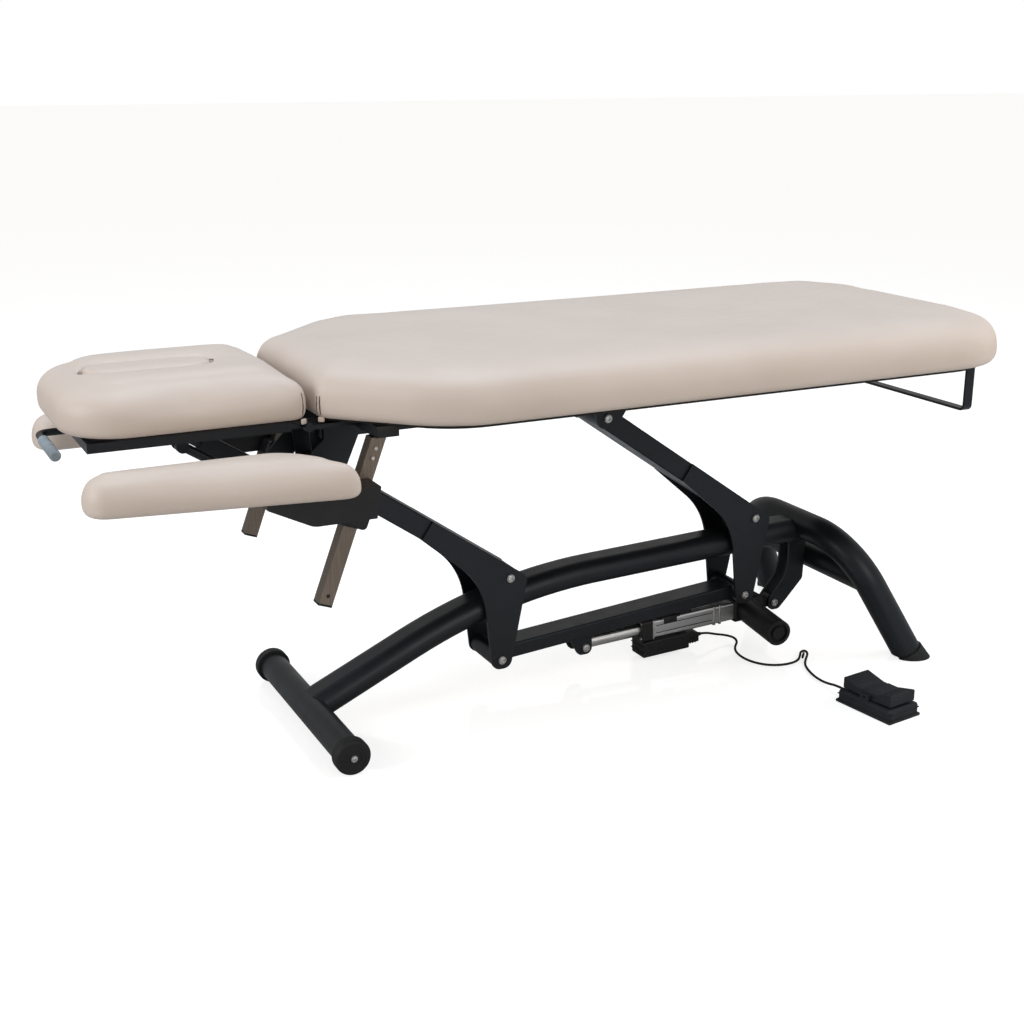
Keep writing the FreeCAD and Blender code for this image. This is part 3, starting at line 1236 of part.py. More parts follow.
CORDS = ("foot_switch_cable", "cable_gland")
room = FreeCAD.BoundBox()
for label, made in nodes.items():
    if label not in CORDS:
        room.add(made.Shape.optimalBoundingBox())
shift = V(-room.Center.x, -room.Center.y, 0)
for made in nodes.values():
    made.Placement = FreeCAD.Placement(shift, NO_TURN) * made.Placement
doc.recompute()

for made in doc.Objects:
    if "Invalid" in made.State or "Error" in made.State:
        raise RuntimeError(f"{made.Label} failed: {made.State}")
for label, made in nodes.items():
    if made.Shape.isNull() or not made.Shape.isValid() or not made.Shape.Solids:
        raise RuntimeError(f"{label} has no valid solid")
for label, made in nodes.items():
    made.Shape.exportStep(f"parts/{label}.step")

print(len(nodes), "nodes; box", [round(v, 1) for v in (room.XLength, room.YLength, room.ZLength)])
print("origin shift", [round(v, 2) for v in shift])
shared_points = {
    "front_pivot": front_pivot, "rear_pivot": rear_pivot, "rear_top_pivot": rear_top_pivot,
    "front_top_pivot": front_top_pivot, "rear_low_pivot": rear_low_pivot,
    "rear_pin": V(d.rear_pin_x, 0, d.rear_pin_z), "head_hinge": V(hinge_x, 0, hinge_z),
    "strut_base": V(d.strut_base_x, 0, d.strut_base_z),
}
for name, point in shared_points.items():
    print(name, [round(v / 1000, 5) for v in point + shift])
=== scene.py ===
# %% [markdown]
# # Electric massage table
# The imported steel and plastic parts come first, as a fixed frame in metres. Every soft or fine
# piece made below is placed on that frame and moves with one of its bodies.

# %% Load the frame
import math

import bmesh
import bpy
from mathutils import Matrix, Vector, noise


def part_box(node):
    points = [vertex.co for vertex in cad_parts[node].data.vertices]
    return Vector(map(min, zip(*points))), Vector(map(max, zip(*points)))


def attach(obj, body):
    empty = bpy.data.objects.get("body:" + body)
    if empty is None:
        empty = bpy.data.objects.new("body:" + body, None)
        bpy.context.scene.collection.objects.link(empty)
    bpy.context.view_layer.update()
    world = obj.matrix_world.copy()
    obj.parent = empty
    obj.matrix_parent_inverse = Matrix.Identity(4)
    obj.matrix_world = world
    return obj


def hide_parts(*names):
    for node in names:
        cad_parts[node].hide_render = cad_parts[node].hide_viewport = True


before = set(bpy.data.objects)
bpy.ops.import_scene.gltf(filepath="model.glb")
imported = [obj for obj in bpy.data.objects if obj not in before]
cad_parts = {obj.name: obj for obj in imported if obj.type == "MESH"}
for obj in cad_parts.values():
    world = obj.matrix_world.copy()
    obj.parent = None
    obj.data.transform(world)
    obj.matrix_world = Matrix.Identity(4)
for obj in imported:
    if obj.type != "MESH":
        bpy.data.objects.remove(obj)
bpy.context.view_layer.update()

bar_low, bar_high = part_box("front_foot_bar")
table_zero = (bar_low + bar_high) / 2


def at(x, y, z):
    """A point in millimetres from the middle of the front foot bar, z from the floor."""
    return Vector((table_zero.x + x / 1000, table_zero.y + y / 1000, z / 1000))


# %% [markdown]
# ## Camera
# The table is seen from its head end, from a little above the cushions, with a normal lens. Its
# place, a dip and a turn set the camera.

# %% Camera
camera_data = bpy.data.cameras.new("studio_camera")
camera_data.lens = 51.83
camera_data.sensor_width = 36
camera = bpy.data.objects.new("studio_camera", camera_data)
camera.location = at(-779, -2428, 1187)
camera_dip, camera_turn = 17.068, -26.313
camera.rotation_euler = (math.radians(90 - camera_dip), 0, math.radians(camera_turn))
bpy.context.scene.collection.objects.link(camera)
bpy.context.scene.camera = camera
print("camera at", [round(value, 3) for value in camera.location])

# %% [markdown]
# ## Studio
# A product picture on white: a wide pale floor with a faint mirror image in it, and large soft
# lamps. The sky is plain white to the camera, but lights the table at a lower level and is weaker
# still in gloss, so that pale vinyl keeps its shading and black steel stays black. The lamp at the
# foot end gives no gloss, which would burn out the top when seen from the head end.

# %% Sky
scene = bpy.context.scene
scene.view_settings.view_transform = "Standard"
sky = bpy.data.worlds.new("studio_sky")
scene.world = sky
sky.use_nodes = True
sky_nodes, sky_links = sky.node_tree.nodes, sky.node_tree.links
ambient = sky_nodes["Background"]
ambient.inputs["Color"].default_value = (1, 0.95, 0.9, 1)
ambient.inputs["Strength"].default_value = 0.3
seen = sky_nodes.new("ShaderNodeBackground")
seen.inputs["Color"].default_value = (1, 1, 1, 1)
seen.inputs["Strength"].default_value = 1.0
rays = sky_nodes.new("ShaderNodeLightPath")
gloss = sky_nodes.new("ShaderNodeMath")
gloss.operation = "MULTIPLY"
gloss.inputs[1].default_value = 0.26
sky_links.new(rays.outputs["Is Glossy Ray"], gloss.inputs[0])
either = sky_nodes.new("ShaderNodeMath")
either.operation = "MAXIMUM"
sky_links.new(rays.outputs["Is Camera Ray"], either.inputs[0])
sky_links.new(gloss.outputs[0], either.inputs[1])
sky_mix = sky_nodes.new("ShaderNodeMixShader")
sky_links.new(either.outputs[0], sky_mix.inputs["Fac"])
sky_links.new(ambient.outputs[0], sky_mix.inputs[1])
sky_links.new(seen.outputs[0], sky_mix.inputs[2])
sky_links.new(sky_mix.outputs[0], sky_nodes["World Output"].inputs["Surface"])
print("sky ready")

# %% Lamps


def soft_lamp(name, place, aim, size, watts, colour=(1, 1, 1)):
    """A square area lamp that looks from a place to a point."""
    data = bpy.data.lights.new(name, "AREA")
    data.color = colour
    data.shape = "SQUARE"
    data.size = size
    data.energy = watts
    lamp = bpy.data.objects.new(name, data)
    lamp.location = place
    lamp.rotation_euler = (aim - place).to_track_quat("-Z", "Y").to_euler()
    scene.collection.objects.link(lamp)
    return lamp


middle = at(480, 0, 500)
soft_lamp("overhead_lamp", at(500, 200, 3600), middle, 3.0, 75, (0.74, 0.88, 1.04))
soft_lamp("head_lamp", at(-3000, -300, 1700), at(-200, 0, 650), 1.6, 48)
soft_lamp("front_lamp", at(900, -3400, 1500), middle, 2.2, 29, (1, 0.93, 0.84))
soft_lamp("foot_lamp", at(3600, -1100, 1500), middle, 1.8, 47).visible_glossy = False

# %% Floor
floor_mesh = bpy.data.meshes.new("studio_floor")
sheet = bmesh.new()
floor_reach, floor_drop = 40, 0.0004
bmesh.ops.create_grid(sheet, x_segments=1, y_segments=1, size=floor_reach)
bmesh.ops.translate(sheet, verts=sheet.verts, vec=(0, 0, -floor_drop))
sheet.to_mesh(floor_mesh)
sheet.free()
studio_floor = bpy.data.objects.new("studio_floor", floor_mesh)
scene.collection.objects.link(studio_floor)
floor_paint = bpy.data.materials.new("studio_floor")
floor_paint.use_nodes = True
floor_nodes, floor_links = floor_paint.node_tree.nodes, floor_paint.node_tree.links
matt = floor_nodes["Principled BSDF"]
matt.inputs["Base Color"].default_value = (0.52, 0.52, 0.52, 1)
matt.inputs["Roughness"].default_value = 0.9
matt.inputs["Specular IOR Level"].default_value = 0.0
lift = floor_nodes.new("ShaderNodeLightPath")
floor_links.new(lift.outputs["Is Camera Ray"], matt.inputs["Emission Strength"])
matt.inputs["Emission Color"].default_value = (0.89, 0.89, 0.89, 1)
mirror = floor_nodes.new("ShaderNodeBsdfGlossy")
mirror.inputs["Color"].default_value = (1, 1, 1, 1)
mirror.inputs["Roughness"].default_value = 0.05
floor_mix = floor_nodes.new("ShaderNodeMixShader")
floor_mix.inputs["Fac"].default_value = 0.14
floor_links.new(matt.outputs["BSDF"], floor_mix.inputs[1])
floor_links.new(mirror.outputs["BSDF"], floor_mix.inputs[2])
floor_links.new(floor_mix.outputs["Shader"], floor_nodes["Material Output"].inputs["Surface"])
floor_mesh.materials.append(floor_paint)
print("floor ready")

# %% [markdown]
# ## Helpers
# Small pieces are all made the same way: a bmesh is shaped with operators, written to a mesh, and
# rides on a body of the frame. Finishes share one start: a shader, object coordinates, and a few
# noise and bump nodes that each finish sets for its own grain.

# %% Helpers for pieces


def piece(name, shape, body, finish, smooth=True):
    """Turns a bmesh into an object with a finish, riding on a body."""
    mesh = bpy.data.meshes.new(name)
    shape.to_mesh(mesh)
    shape.free()
    for face in mesh.polygons:
        face.use_smooth = smooth
    made = bpy.data.objects.new(name, mesh)
    scene.collection.objects.link(made)
    mesh.materials.append(finish)
    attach(made, body)
    return made


def crisp(made, degrees=35):
    """Keeps edges sharper than an angle, as on machined and pressed parts."""
    made.data.set_sharp_from_angle(angle=math.radians(degrees))


def bevelled(shape, edges, width, segments=3):
    return bmesh.ops.bevel(shape, geom=edges, offset=width, offset_type="OFFSET", segments=segments,
                           profile=0.5, affect="EDGES", clamp_overlap=True, material=-1)


def slab(shape, spot, size, turn=Matrix(), soft=0.0, steps=2):
    """Adds a box with softened edges to a shape; the size is in millimetres."""
    scale = Matrix.Diagonal((*(length / 1000 for length in size), 1))
    made = bmesh.ops.create_cube(shape, size=1, matrix=Matrix.Translation(spot) @ turn @ scale)
    if soft:
        edges = list(dict.fromkeys(edge for vert in made["verts"] for edge in vert.link_edges))
        bevelled(shape, edges, soft / 1000, steps)


# %% Helpers for finishes


def start_finish(name, colour, roughness, metallic=0.0, specular=0.5):
    """A material with its shader set and its object coordinates ready."""
    made = bpy.data.materials.new(name)
    made.use_nodes = True
    nodes = made.node_tree.nodes
    shader = nodes["Principled BSDF"]
    shader.inputs["Base Color"].default_value = (*colour, 1)
    shader.inputs["Roughness"].default_value = roughness
    shader.inputs["Metallic"].default_value = metallic
    shader.inputs["Specular IOR Level"].default_value = specular
    where = nodes.new("ShaderNodeTexCoord")
    return made, shader, where.outputs["Object"]


def link(made, source, target):
    made.node_tree.links.new(source, target)


def stretched(made, source, scale, turn=(0, 0, 0)):
    """Coordinates stretched and turned, for grain that runs one way."""
    mapping = made.node_tree.nodes.new("ShaderNodeMapping")
    mapping.inputs["Scale"].default_value = scale
    mapping.inputs["Rotation"].default_value = turn
    link(made, source, mapping.inputs["Vector"])
    return mapping.outputs["Vector"]


def speckle(made, source, scale, detail=3.0, roughness=0.55):
    grain = made.node_tree.nodes.new("ShaderNodeTexNoise")
    grain.inputs["Scale"].default_value = scale
    grain.inputs["Detail"].default_value = detail
    grain.inputs["Roughness"].default_value = roughness
    link(made, source, grain.inputs["Vector"])
    return grain.outputs["Fac"]


def between(made, factor, low, high, target):
    """A value that follows a pattern from low to high."""
    span = made.node_tree.nodes.new("ShaderNodeMapRange")
    span.inputs["From Min"].default_value = 0.3
    span.inputs["From Max"].default_value = 0.7
    span.inputs["To Min"].default_value = low
    span.inputs["To Max"].default_value = high
    link(made, factor, span.inputs["Value"])
    link(made, span.outputs["Result"], target)


def two_tone(made, factor, dark, pale, target):
    """A colour that follows a pattern from dark to pale."""
    ramp = made.node_tree.nodes.new("ShaderNodeValToRGB")
    ramp.color_ramp.elements[0].position = 0.3
    ramp.color_ramp.elements[0].color = (*dark, 1)
    ramp.color_ramp.elements[1].position = 0.7
    ramp.color_ramp.elements[1].color = (*pale, 1)
    link(made, factor, ramp.inputs["Fac"])
    link(made, ramp.outputs["Color"], target)


def bumped(made, shader, height, distance, strength=1.0, after=None):
    bump = made.node_tree.nodes.new("ShaderNodeBump")
    bump.inputs["Strength"].default_value = strength
    bump.inputs["Distance"].default_value = distance
    link(made, height, bump.inputs["Height"])
    if after:
        link(made, after, bump.inputs["Normal"])
    link(made, bump.outputs["Normal"], shader.inputs["Normal"])
    return bump.outputs["Normal"]


print("helpers ready")

# %% [markdown]
# ## Finishes
# The cushions are covered in pale upholstery vinyl: a fine leather grain of small cells, with a
# satin sheen and slow changes of tone. Cells come from a Voronoi pattern; a slow noise shifts the
# tone and the gloss.

# %% Vinyl


def vinyl_finish(name, dark, pale):
    made, shader, place = start_finish(name, pale, 0.44, specular=0.36)
    slow = speckle(made, place, 5.0, 2.0)
    two_tone(made, slow, dark, pale, shader.inputs["Base Color"])
    cells = made.node_tree.nodes.new("ShaderNodeTexVoronoi")
    cells.inputs["Scale"].default_value = 620
    cells.inputs["Randomness"].default_value = 0.9
    link(made, place, cells.inputs["Vector"])
    pores = bumped(made, shader, cells.outputs["Distance"], 0.00022, 0.3)
    creases = speckle(made, place, 150.0, 4.0, 0.6)
    bumped(made, shader, creases, 0.0003, 0.25, pores)
    between(made, speckle(made, place, 38.0), 0.4, 0.5, shader.inputs["Roughness"])
    return made


vinyl = vinyl_finish("pale_vinyl", (0.625, 0.53, 0.46), (0.665, 0.57, 0.5))
print("vinyl ready")

# %% [markdown]
# The base, the arms and the frame are powder-coated steel: nearly black, satin, with the fine
# orange peel of baked powder. Plastic parts are moulded with a spark-eroded grain, and rubber is
# duller still.

# %% Black finishes


def powder_coat(name, colour, roughness):
    made, shader, place = start_finish(name, colour, roughness, specular=0.32)
    shader.inputs["Specular Tint"].default_value = (0.84, 0.92, 1, 1)
    peel = speckle(made, place, 420.0, 2.0)
    bumped(made, shader, peel, 0.00016, 0.35)
    between(made, speckle(made, place, 24.0, 4.0), roughness - 0.05, roughness + 0.07,
            shader.inputs["Roughness"])
    two_tone(made, speckle(made, place, 9.0, 3.0), tuple(c * 0.82 for c in colour),
             tuple(c * 1.15 for c in colour), shader.inputs["Base Color"])
    return made


def moulded(name, colour, roughness, grain, depth):
    made, shader, place = start_finish(name, colour, roughness, specular=0.3)
    bumped(made, shader, speckle(made, place, grain, 4.0, 0.65), depth, 0.4)
    between(made, speckle(made, place, 60.0), roughness - 0.06, roughness + 0.06,
            shader.inputs["Roughness"])
    two_tone(made, speckle(made, place, 18.0), tuple(c * 0.8 for c in colour),
             tuple(c * 1.2 for c in colour), shader.inputs["Base Color"])
    return made


black_steel = powder_coat("black_powder_coat", (0.011, 0.0122, 0.0148), 0.36)
black_plastic = moulded("black_moulded_plastic", (0.0105, 0.0105, 0.0115), 0.42, 900.0, 0.0002)
switch_plastic = moulded("foot_switch_plastic", (0.0125, 0.0145, 0.018), 0.5, 700.0, 0.0003)
rubber = moulded("black_rubber", (0.0125, 0.0135, 0.0145), 0.62, 500.0, 0.0003)
grip_grey = moulded("soft_grey_grip", (0.24, 0.285, 0.32), 0.5, 650.0, 0.0002)
print("black finishes ready")

# %% [markdown]
# Bare metal shows the way it was made. The actuator case is drawn aluminium with lines along its
# length, the rod is ground and bright, bolts are dull zinc, and the hanging posts have a bronze
# tone. Stretched noise gives the lines.

# %% Metal finishes


def drawn_metal(name, dark, pale, roughness, stretch, turn=(0, 0, 0), depth=0.00006):
    made, shader, place = start_finish(name, pale, roughness, metallic=1.0)
    lines = speckle(made, stretched(made, place, stretch, turn), 1.0, 3.0, 0.6)
    two_tone(made, lines, dark, pale, shader.inputs["Base Color"])
    between(made, lines, roughness - 0.07, roughness + 0.09, shader.inputs["Roughness"])
    bumped(made, shader, lines, depth, 0.4)
    return made


aluminium = drawn_metal("drawn_aluminium", (0.5, 0.51, 0.53), (0.66, 0.67, 0.69), 0.34, (6, 900, 900))
bright_rod = drawn_metal("ground_rod", (0.6, 0.61, 0.62), (0.72, 0.73, 0.74), 0.26, (8, 300, 300),
                         depth=0.00001)
zinc = drawn_metal("zinc_plate", (0.4, 0.4, 0.4), (0.62, 0.62, 0.61), 0.34, (160, 160, 160))
bronze_steel = drawn_metal("bronze_post", (0.135, 0.11, 0.09), (0.235, 0.196, 0.165), 0.44,
                           (900, 900, 9), (0, math.radians(18.3), 0))
print("metals ready")

# %% Plywood


def plywood_finish():
    """Plywood stained black, with its grain just showing."""
    made, shader, place = start_finish("plywood", (0.02, 0.018, 0.016), 0.62, specular=0.25)
    grain = speckle(made, stretched(made, place, (5, 70, 260)), 1.0, 6.0, 0.6)
    two_tone(made, grain, (0.009, 0.008, 0.007), (0.022, 0.019, 0.016), shader.inputs["Base Color"])
    bumped(made, shader, grain, 0.0003, 0.3)
    return made


plywood = plywood_finish()
print("plywood ready")

# %% [markdown]
# ## Dressing the frame
# Each steel, plastic and metal part of the frame keeps its shape and takes its finish.

# %% Finish of each part
finish_of = {
    black_steel: (
        "front_foot_bar", "main_beam", "beam_pivot_lugs", "rear_arch", "tie_bar", "actuator_bracket",
        "rear_arm_tube", "rear_arm_plates", "front_arm_tube", "front_arm_plates", "link_bar",
        "link_bushes", "link_lugs", "frame_rails", "frame_pivot_plates", "strut_brackets",
        "frame_hinge_leaves", "paper_bar", "head_rails", "head_cross_bars", "head_hinge",
        "strut_lugs", "strut_sleeves", "strut_rods", "release_lever"),
    black_plastic: (
        "actuator_nose", "actuator_gearbox", "actuator_motor", "motor_end_cap", "control_box",
        "control_plug", "post_end_plugs", "near_armrest_bracket", "far_armrest_bracket",
        "near_armrest_knob", "far_armrest_knob"),
    switch_plastic: ("foot_switch_base", "foot_switch_rocker"),
    rubber: ("foot_bar_caps", "arch_feet", "cable_gland", "foot_switch_cable"),
    zinc: ("base_bolts", "rear_arm_bolts", "front_arm_bolts", "link_lug_bolts", "frame_pivot_bolts",
           "frame_screws"),
    aluminium: ("actuator_case",),
    bright_rod: ("actuator_rod",),
    bronze_steel: ("armrest_posts",),
    grip_grey: ("lever_grip",),
    plywood: ("main_board", "head_board"),
}
for finish, names in finish_of.items():
    for name in names:
        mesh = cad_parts[name].data
        mesh.materials.clear()
        mesh.materials.append(finish)
print("dressed:", sum(len(names) for names in finish_of.values()), "parts")

# %% [markdown]
# ## Cable
# A thin flexible lead runs from the control plug over the floor to the foot switch, with one tight
# fold on the way. A spline with the same points as the solid model gives its line.

# %% Cable
cable_points = [
    (853.5, 0, 26.2), (875.5, 0, 27), (906, 2, 17), (930, -2, 12), (943, -15, 9), (939, -32, 6),
    (925, -45, 4), (913, -61, 3.2), (905, -84, 3.2), (903, -110, 3.2), (909, -135, 3.2),
    (924, -157, 3.2), (947, -170, 3.2), (973, -173, 3.2), (996, -167, 3.2), (1012, -153, 5),
    (1023, -139, 7), (1035, -138, 8), (1033, -151, 7), (1019, -165, 5), (1004, -180, 3.2),
    (992, -198, 3.2), (982, -224, 3.2), (976, -251, 3.2), (975, -275, 3.2), (977, -295, 5),
    (974.6, -315.8, 11), (977.6, -337.6, 11),
]
cable_curve = bpy.data.curves.new("switch_cable", "CURVE")
cable_curve.dimensions = "3D"
cable_curve.bevel_depth = 0.0025
cable_curve.bevel_resolution = 4
cable_curve.resolution_u = 8
cable_curve.use_fill_caps = True
cable_line = cable_curve.splines.new("NURBS")
cable_line.points.add(len(cable_points) - 1)
for point, spot in zip(cable_line.points, cable_points):
    point.co = (*at(*spot), 1)
cable_line.order_u = 3
cable_line.use_endpoint_u = True
switch_cable = bpy.data.objects.new("switch_cable", cable_curve)
scene.collection.objects.link(switch_cable)
cable_curve.materials.append(rubber)
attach(switch_cable, "base")
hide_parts("foot_switch_cable")
print("cable:", len(cable_points), "points")

# %% [markdown]
# ## Cushions
# A cushion is foam on a board, pulled tight under vinyl: a tucked foot, full sides and a broad roll
# over to the top. Its outline is drawn with a few corners, which a vertex bevel rounds. One such ring
# is made at each level, drawn in as the roll goes, and the rings are bridged. A short cloth
# simulation with air inside then lets the cover swell and pull in as sewn vinyl does.

# %% Cushion blocks


def drawn_in(corners, radii, shares, inset):
    """Corners of an outline moved in, each side by its share of one distance, with smaller rounds."""
    spots = [Vector(corner) for corner in corners]
    sides = [(b - a).normalized() for a, b in zip(spots, spots[1:] + spots[:1])]
    area = sum(a.cross(b) for a, b in zip(spots, spots[1:] + spots[:1]))
    inward = [Vector((-side.y, side.x)) * math.copysign(1, area) for side in sides]
    moved = []
    for i, spot in enumerate(spots):
        back, on = inward[i - 1], inward[i]
        lean = back.dot(on)
        from_back, from_on = inset * shares[i - 1], inset * shares[i]
        step = back * (from_back - lean * from_on) + on * (from_on - lean * from_back)
        moved.append(spot + step / (1 - lean * lean))
    return moved, [max(radius - inset, 6 + 0.2 * inset) for radius in radii]


def ring(shape, corners, radii, height, steps=14):
    """A flat face with a rounded outline at one level of a shape; gives back the face."""
    spots = [at(x, y, height) for x, y in corners]
    face = shape.faces.new([shape.verts.new(spot) for spot in spots])
    for i, vert in enumerate(face.verts[:]):
        back, on = spots[i - 1] - spots[i], spots[(i + 1) % len(spots)] - spots[i]
        reach = radii[i] / 1000 / math.tan(back.angle(on) / 2)
        bmesh.ops.bevel(shape, geom=[vert], offset=reach, offset_type="OFFSET", segments=steps,
                        profile=0.5, affect="VERTICES", material=-1)
    shape.faces.ensure_lookup_table()
    return shape.faces[-1]


def stacked(corners, radii, levels, shares=None):
    """A closed block through rings at several levels, each drawn in by its own distance."""
    shape = bmesh.new()
    shares = shares or [1] * len(corners)
    rings = []
    for number, (height, inset) in enumerate(levels):
        face = ring(shape, *drawn_in(corners, radii, shares, inset), height)
        rings.append(face.edges[:])
        if 0 < number < len(levels) - 1:
            bmesh.ops.delete(shape, geom=[face], context="FACES_ONLY")
    for low, high in zip(rings, rings[1:]):
        bmesh.ops.bridge_loops(shape, edges=low + high)
    bmesh.ops.recalc_face_normals(shape, faces=shape.faces)
    return shape


def cushion_levels(low, high, tuck, roll, crown, full=0.4):
    """Levels of a cushion: a rounded foot, a full side up to a share, an even roll and a low crown."""
    levels = []
    for degrees in range(0, 90, 18):
        turn = math.radians(degrees)
        levels.append((low + tuck * (1 - math.cos(turn)), tuck * (1 - math.sin(turn))))
    start, rise = low + full * (high - low), (1 - full) * (high - low) - crown
    for degrees in range(0, 91, 15):
        turn = math.radians(degrees)
        levels.append((start + rise * math.sin(turn), roll * (1 - math.cos(turn))))
    return levels + [(high, 1.15 * roll)]


def remeshed(name, shape, voxel):
    """A copy of a block as an even net of quads."""
    mesh = bpy.data.meshes.new(name)
    shape.to_mesh(mesh)
    shape.free()
    made = bpy.data.objects.new(name, mesh)
    scene.collection.objects.link(made)
    net = made.modifiers.new("net", "REMESH")
    net.mode = "VOXEL"
    net.voxel_size = voxel
    bpy.context.view_layer.update()
    seen_now = made.evaluated_get(bpy.context.evaluated_depsgraph_get())
    fine = bpy.data.meshes.new_from_object(seen_now)
    made.modifiers.clear()
    made.data = fine
    return made


def swell(made, pressure, cap, held_below, passes):
    """Blows up a cushion's cover a little, with its underside held, and keeps each point near home."""
    home = [vert.co.copy() for vert in made.data.vertices]
    held = made.vertex_groups.new(name="held")
    held.add([i for i, spot in enumerate(home) if spot.z < held_below], 1.0, "REPLACE")
    cloth = made.modifiers.new("cover", "CLOTH")
    cloth.settings.quality = 6
    cloth.settings.mass = 0.4
    cloth.settings.tension_stiffness = 30
    cloth.settings.compression_stiffness = 30
    cloth.settings.bending_stiffness = 4
    cloth.settings.use_pressure = True
    cloth.settings.uniform_pressure_force = pressure
    cloth.settings.vertex_group_mass = "held"
    cloth.settings.effector_weights.gravity = 0
    first, last = 1, 20
    cloth.point_cache.frame_start = first
    cloth.point_cache.frame_end = last
    for number in range(first, last + 1):
        scene.frame_set(number)
    seen_now = made.evaluated_get(bpy.context.evaluated_depsgraph_get())
    blown = [vert.co.copy() for vert in seen_now.data.vertices]
    made.modifiers.clear()
    made.vertex_groups.clear()
    scene.frame_set(first)
    for vert, start, end in zip(made.data.vertices, home, blown):
        step = end - start
        vert.co = start + step * min(1, cap / max(step.length, 1e-9))
    shape = bmesh.new()
    shape.from_mesh(made.data)
    for _ in range(passes):
        bmesh.ops.smooth_vert(shape, verts=shape.verts, factor=0.5, use_axis_x=True, use_axis_y=True,
                              use_axis_z=True)
    shape.to_mesh(made.data)
    shape.free()
    moved = max((vert.co - start).length for vert, start in zip(made.data.vertices, home))
    print(made.name, "points", len(home), "moved up to", round(moved * 1000, 1), "mm")


def upholster(made, node, body):
    """Covers a cushion in vinyl and lets it stand for its plain solid."""
    for face in made.data.polygons:
        face.use_smooth = True
    made.data.materials.append(vinyl)
    fine = made.modifiers.new("fine", "SUBSURF")
    fine.levels = fine.render_levels = 1
    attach(made, body)
    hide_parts(node)


# %% [markdown]
# The main cushion is the long top. Its head end narrows with two chamfered corners, so that the
# arms can hang down beside it, and its foot corners are wide curves.

# %% Main cushion
main_corners = [(-26, -175), (150, -348), (1394, -348), (1394, 348), (150, 348), (-26, 175)]
main_radii = [24, 184, 184, 184, 184, 24]
main_shares = [1, 1, 1, 1, 1, 0.8]
main_block = stacked(main_corners, main_radii, cushion_levels(620.5, 710, 15, 46, 4), main_shares)
main_cushion = remeshed("main_cushion", main_block, 0.009)
swell(main_cushion, 4.0, 0.004, at(0, 0, 630).z, 8)
upholster(main_cushion, "main_pad", "top_frame")

# %% [markdown]
# The head cushion has a long slot for the face. A loose plug of the same vinyl fills it, so what
# shows on top is an oval crease, pinched at its two ends.

# %% Head cushion
head_corners = [(-423, -177), (-32.5, -177), (-32.5, 177), (-423, 177)]
head_radii, head_shares = [102, 24, 24, 102], [1, 0.8, 1, 1]
head_block = stacked(head_corners, head_radii, cushion_levels(621.5, 705.5, 15, 56, 8), head_shares)
slot_middle = -254


def slot_block(extra, levels):
    """A long block with round ends that fits the face slot."""
    run, half = 107 + extra, 40 + extra
    corners = [(slot_middle - run, -half), (slot_middle + run, -half),
               (slot_middle + run, half), (slot_middle - run, half)]
    return stacked(corners, [half * 0.995] * 4, levels)


def with_hole(block, tool):
    """Cuts one block out of another."""
    objects = []
    for name, shape in (("block", block), ("tool", tool)):
        mesh = bpy.data.meshes.new(name)
        shape.to_mesh(mesh)
        shape.free()
        objects.append(bpy.data.objects.new(name, mesh))
        scene.collection.objects.link(objects[-1])
    hole = objects[0].modifiers.new("hole", "BOOLEAN")
    hole.operation = "DIFFERENCE"
    hole.object = objects[1]
    bpy.context.view_layer.update()
    seen_now = objects[0].evaluated_get(bpy.context.evaluated_depsgraph_get())
    cut = bpy.data.meshes.new_from_object(seen_now)
    shape = bmesh.new()
    shape.from_mesh(cut)
    for made in objects:
        bpy.data.objects.remove(made)
    return shape


slot_tool = slot_block(0, [(600, -1), (640, -1), (696, -1), (740, -1.4)])
head_cushion = remeshed("head_cushion", with_hole(head_block, slot_tool), 0.0042)
swell(head_cushion, 4.0, 0.004, at(0, 0, 631).z, 12)
upholster(head_cushion, "head_pad", "head")

# %% Face plug
plug_levels = [(627, 4), (631, 1.5), (640, 0.8), (697, 0.8), (702, 1.6), (704.5, 5), (705.8, 20)]
face_cushion = remeshed("face_cushion", slot_block(0, plug_levels), 0.004)
swell(face_cushion, 3.0, 0.0012, at(0, 0, 640).z, 3)
upholster(face_cushion, "face_plug", "plug")

# %% [markdown]
# The armrests are slim boats: straight beside the head cushion, and wider towards the foot end.

# %% Armrests
arm_outline, arm_radii = [(-417, 187), (-80, 187), (29, 337), (-417, 266)], [38, 100, 26, 38]
for side, sign in (("near", -1), ("far", 1)):
    corners = [(x, sign * y) for x, y in arm_outline]
    block = stacked(corners, arm_radii, cushion_levels(523.5, 588, 13, 26, 6, 0.28))
    arm_cushion = remeshed(side + "_arm_cushion", block, 0.0035)
    swell(arm_cushion, 4.0, 0.003, at(0, 0, 531).z, 10)
    upholster(arm_cushion, side + "_armrest_pad", side + "_armrest")
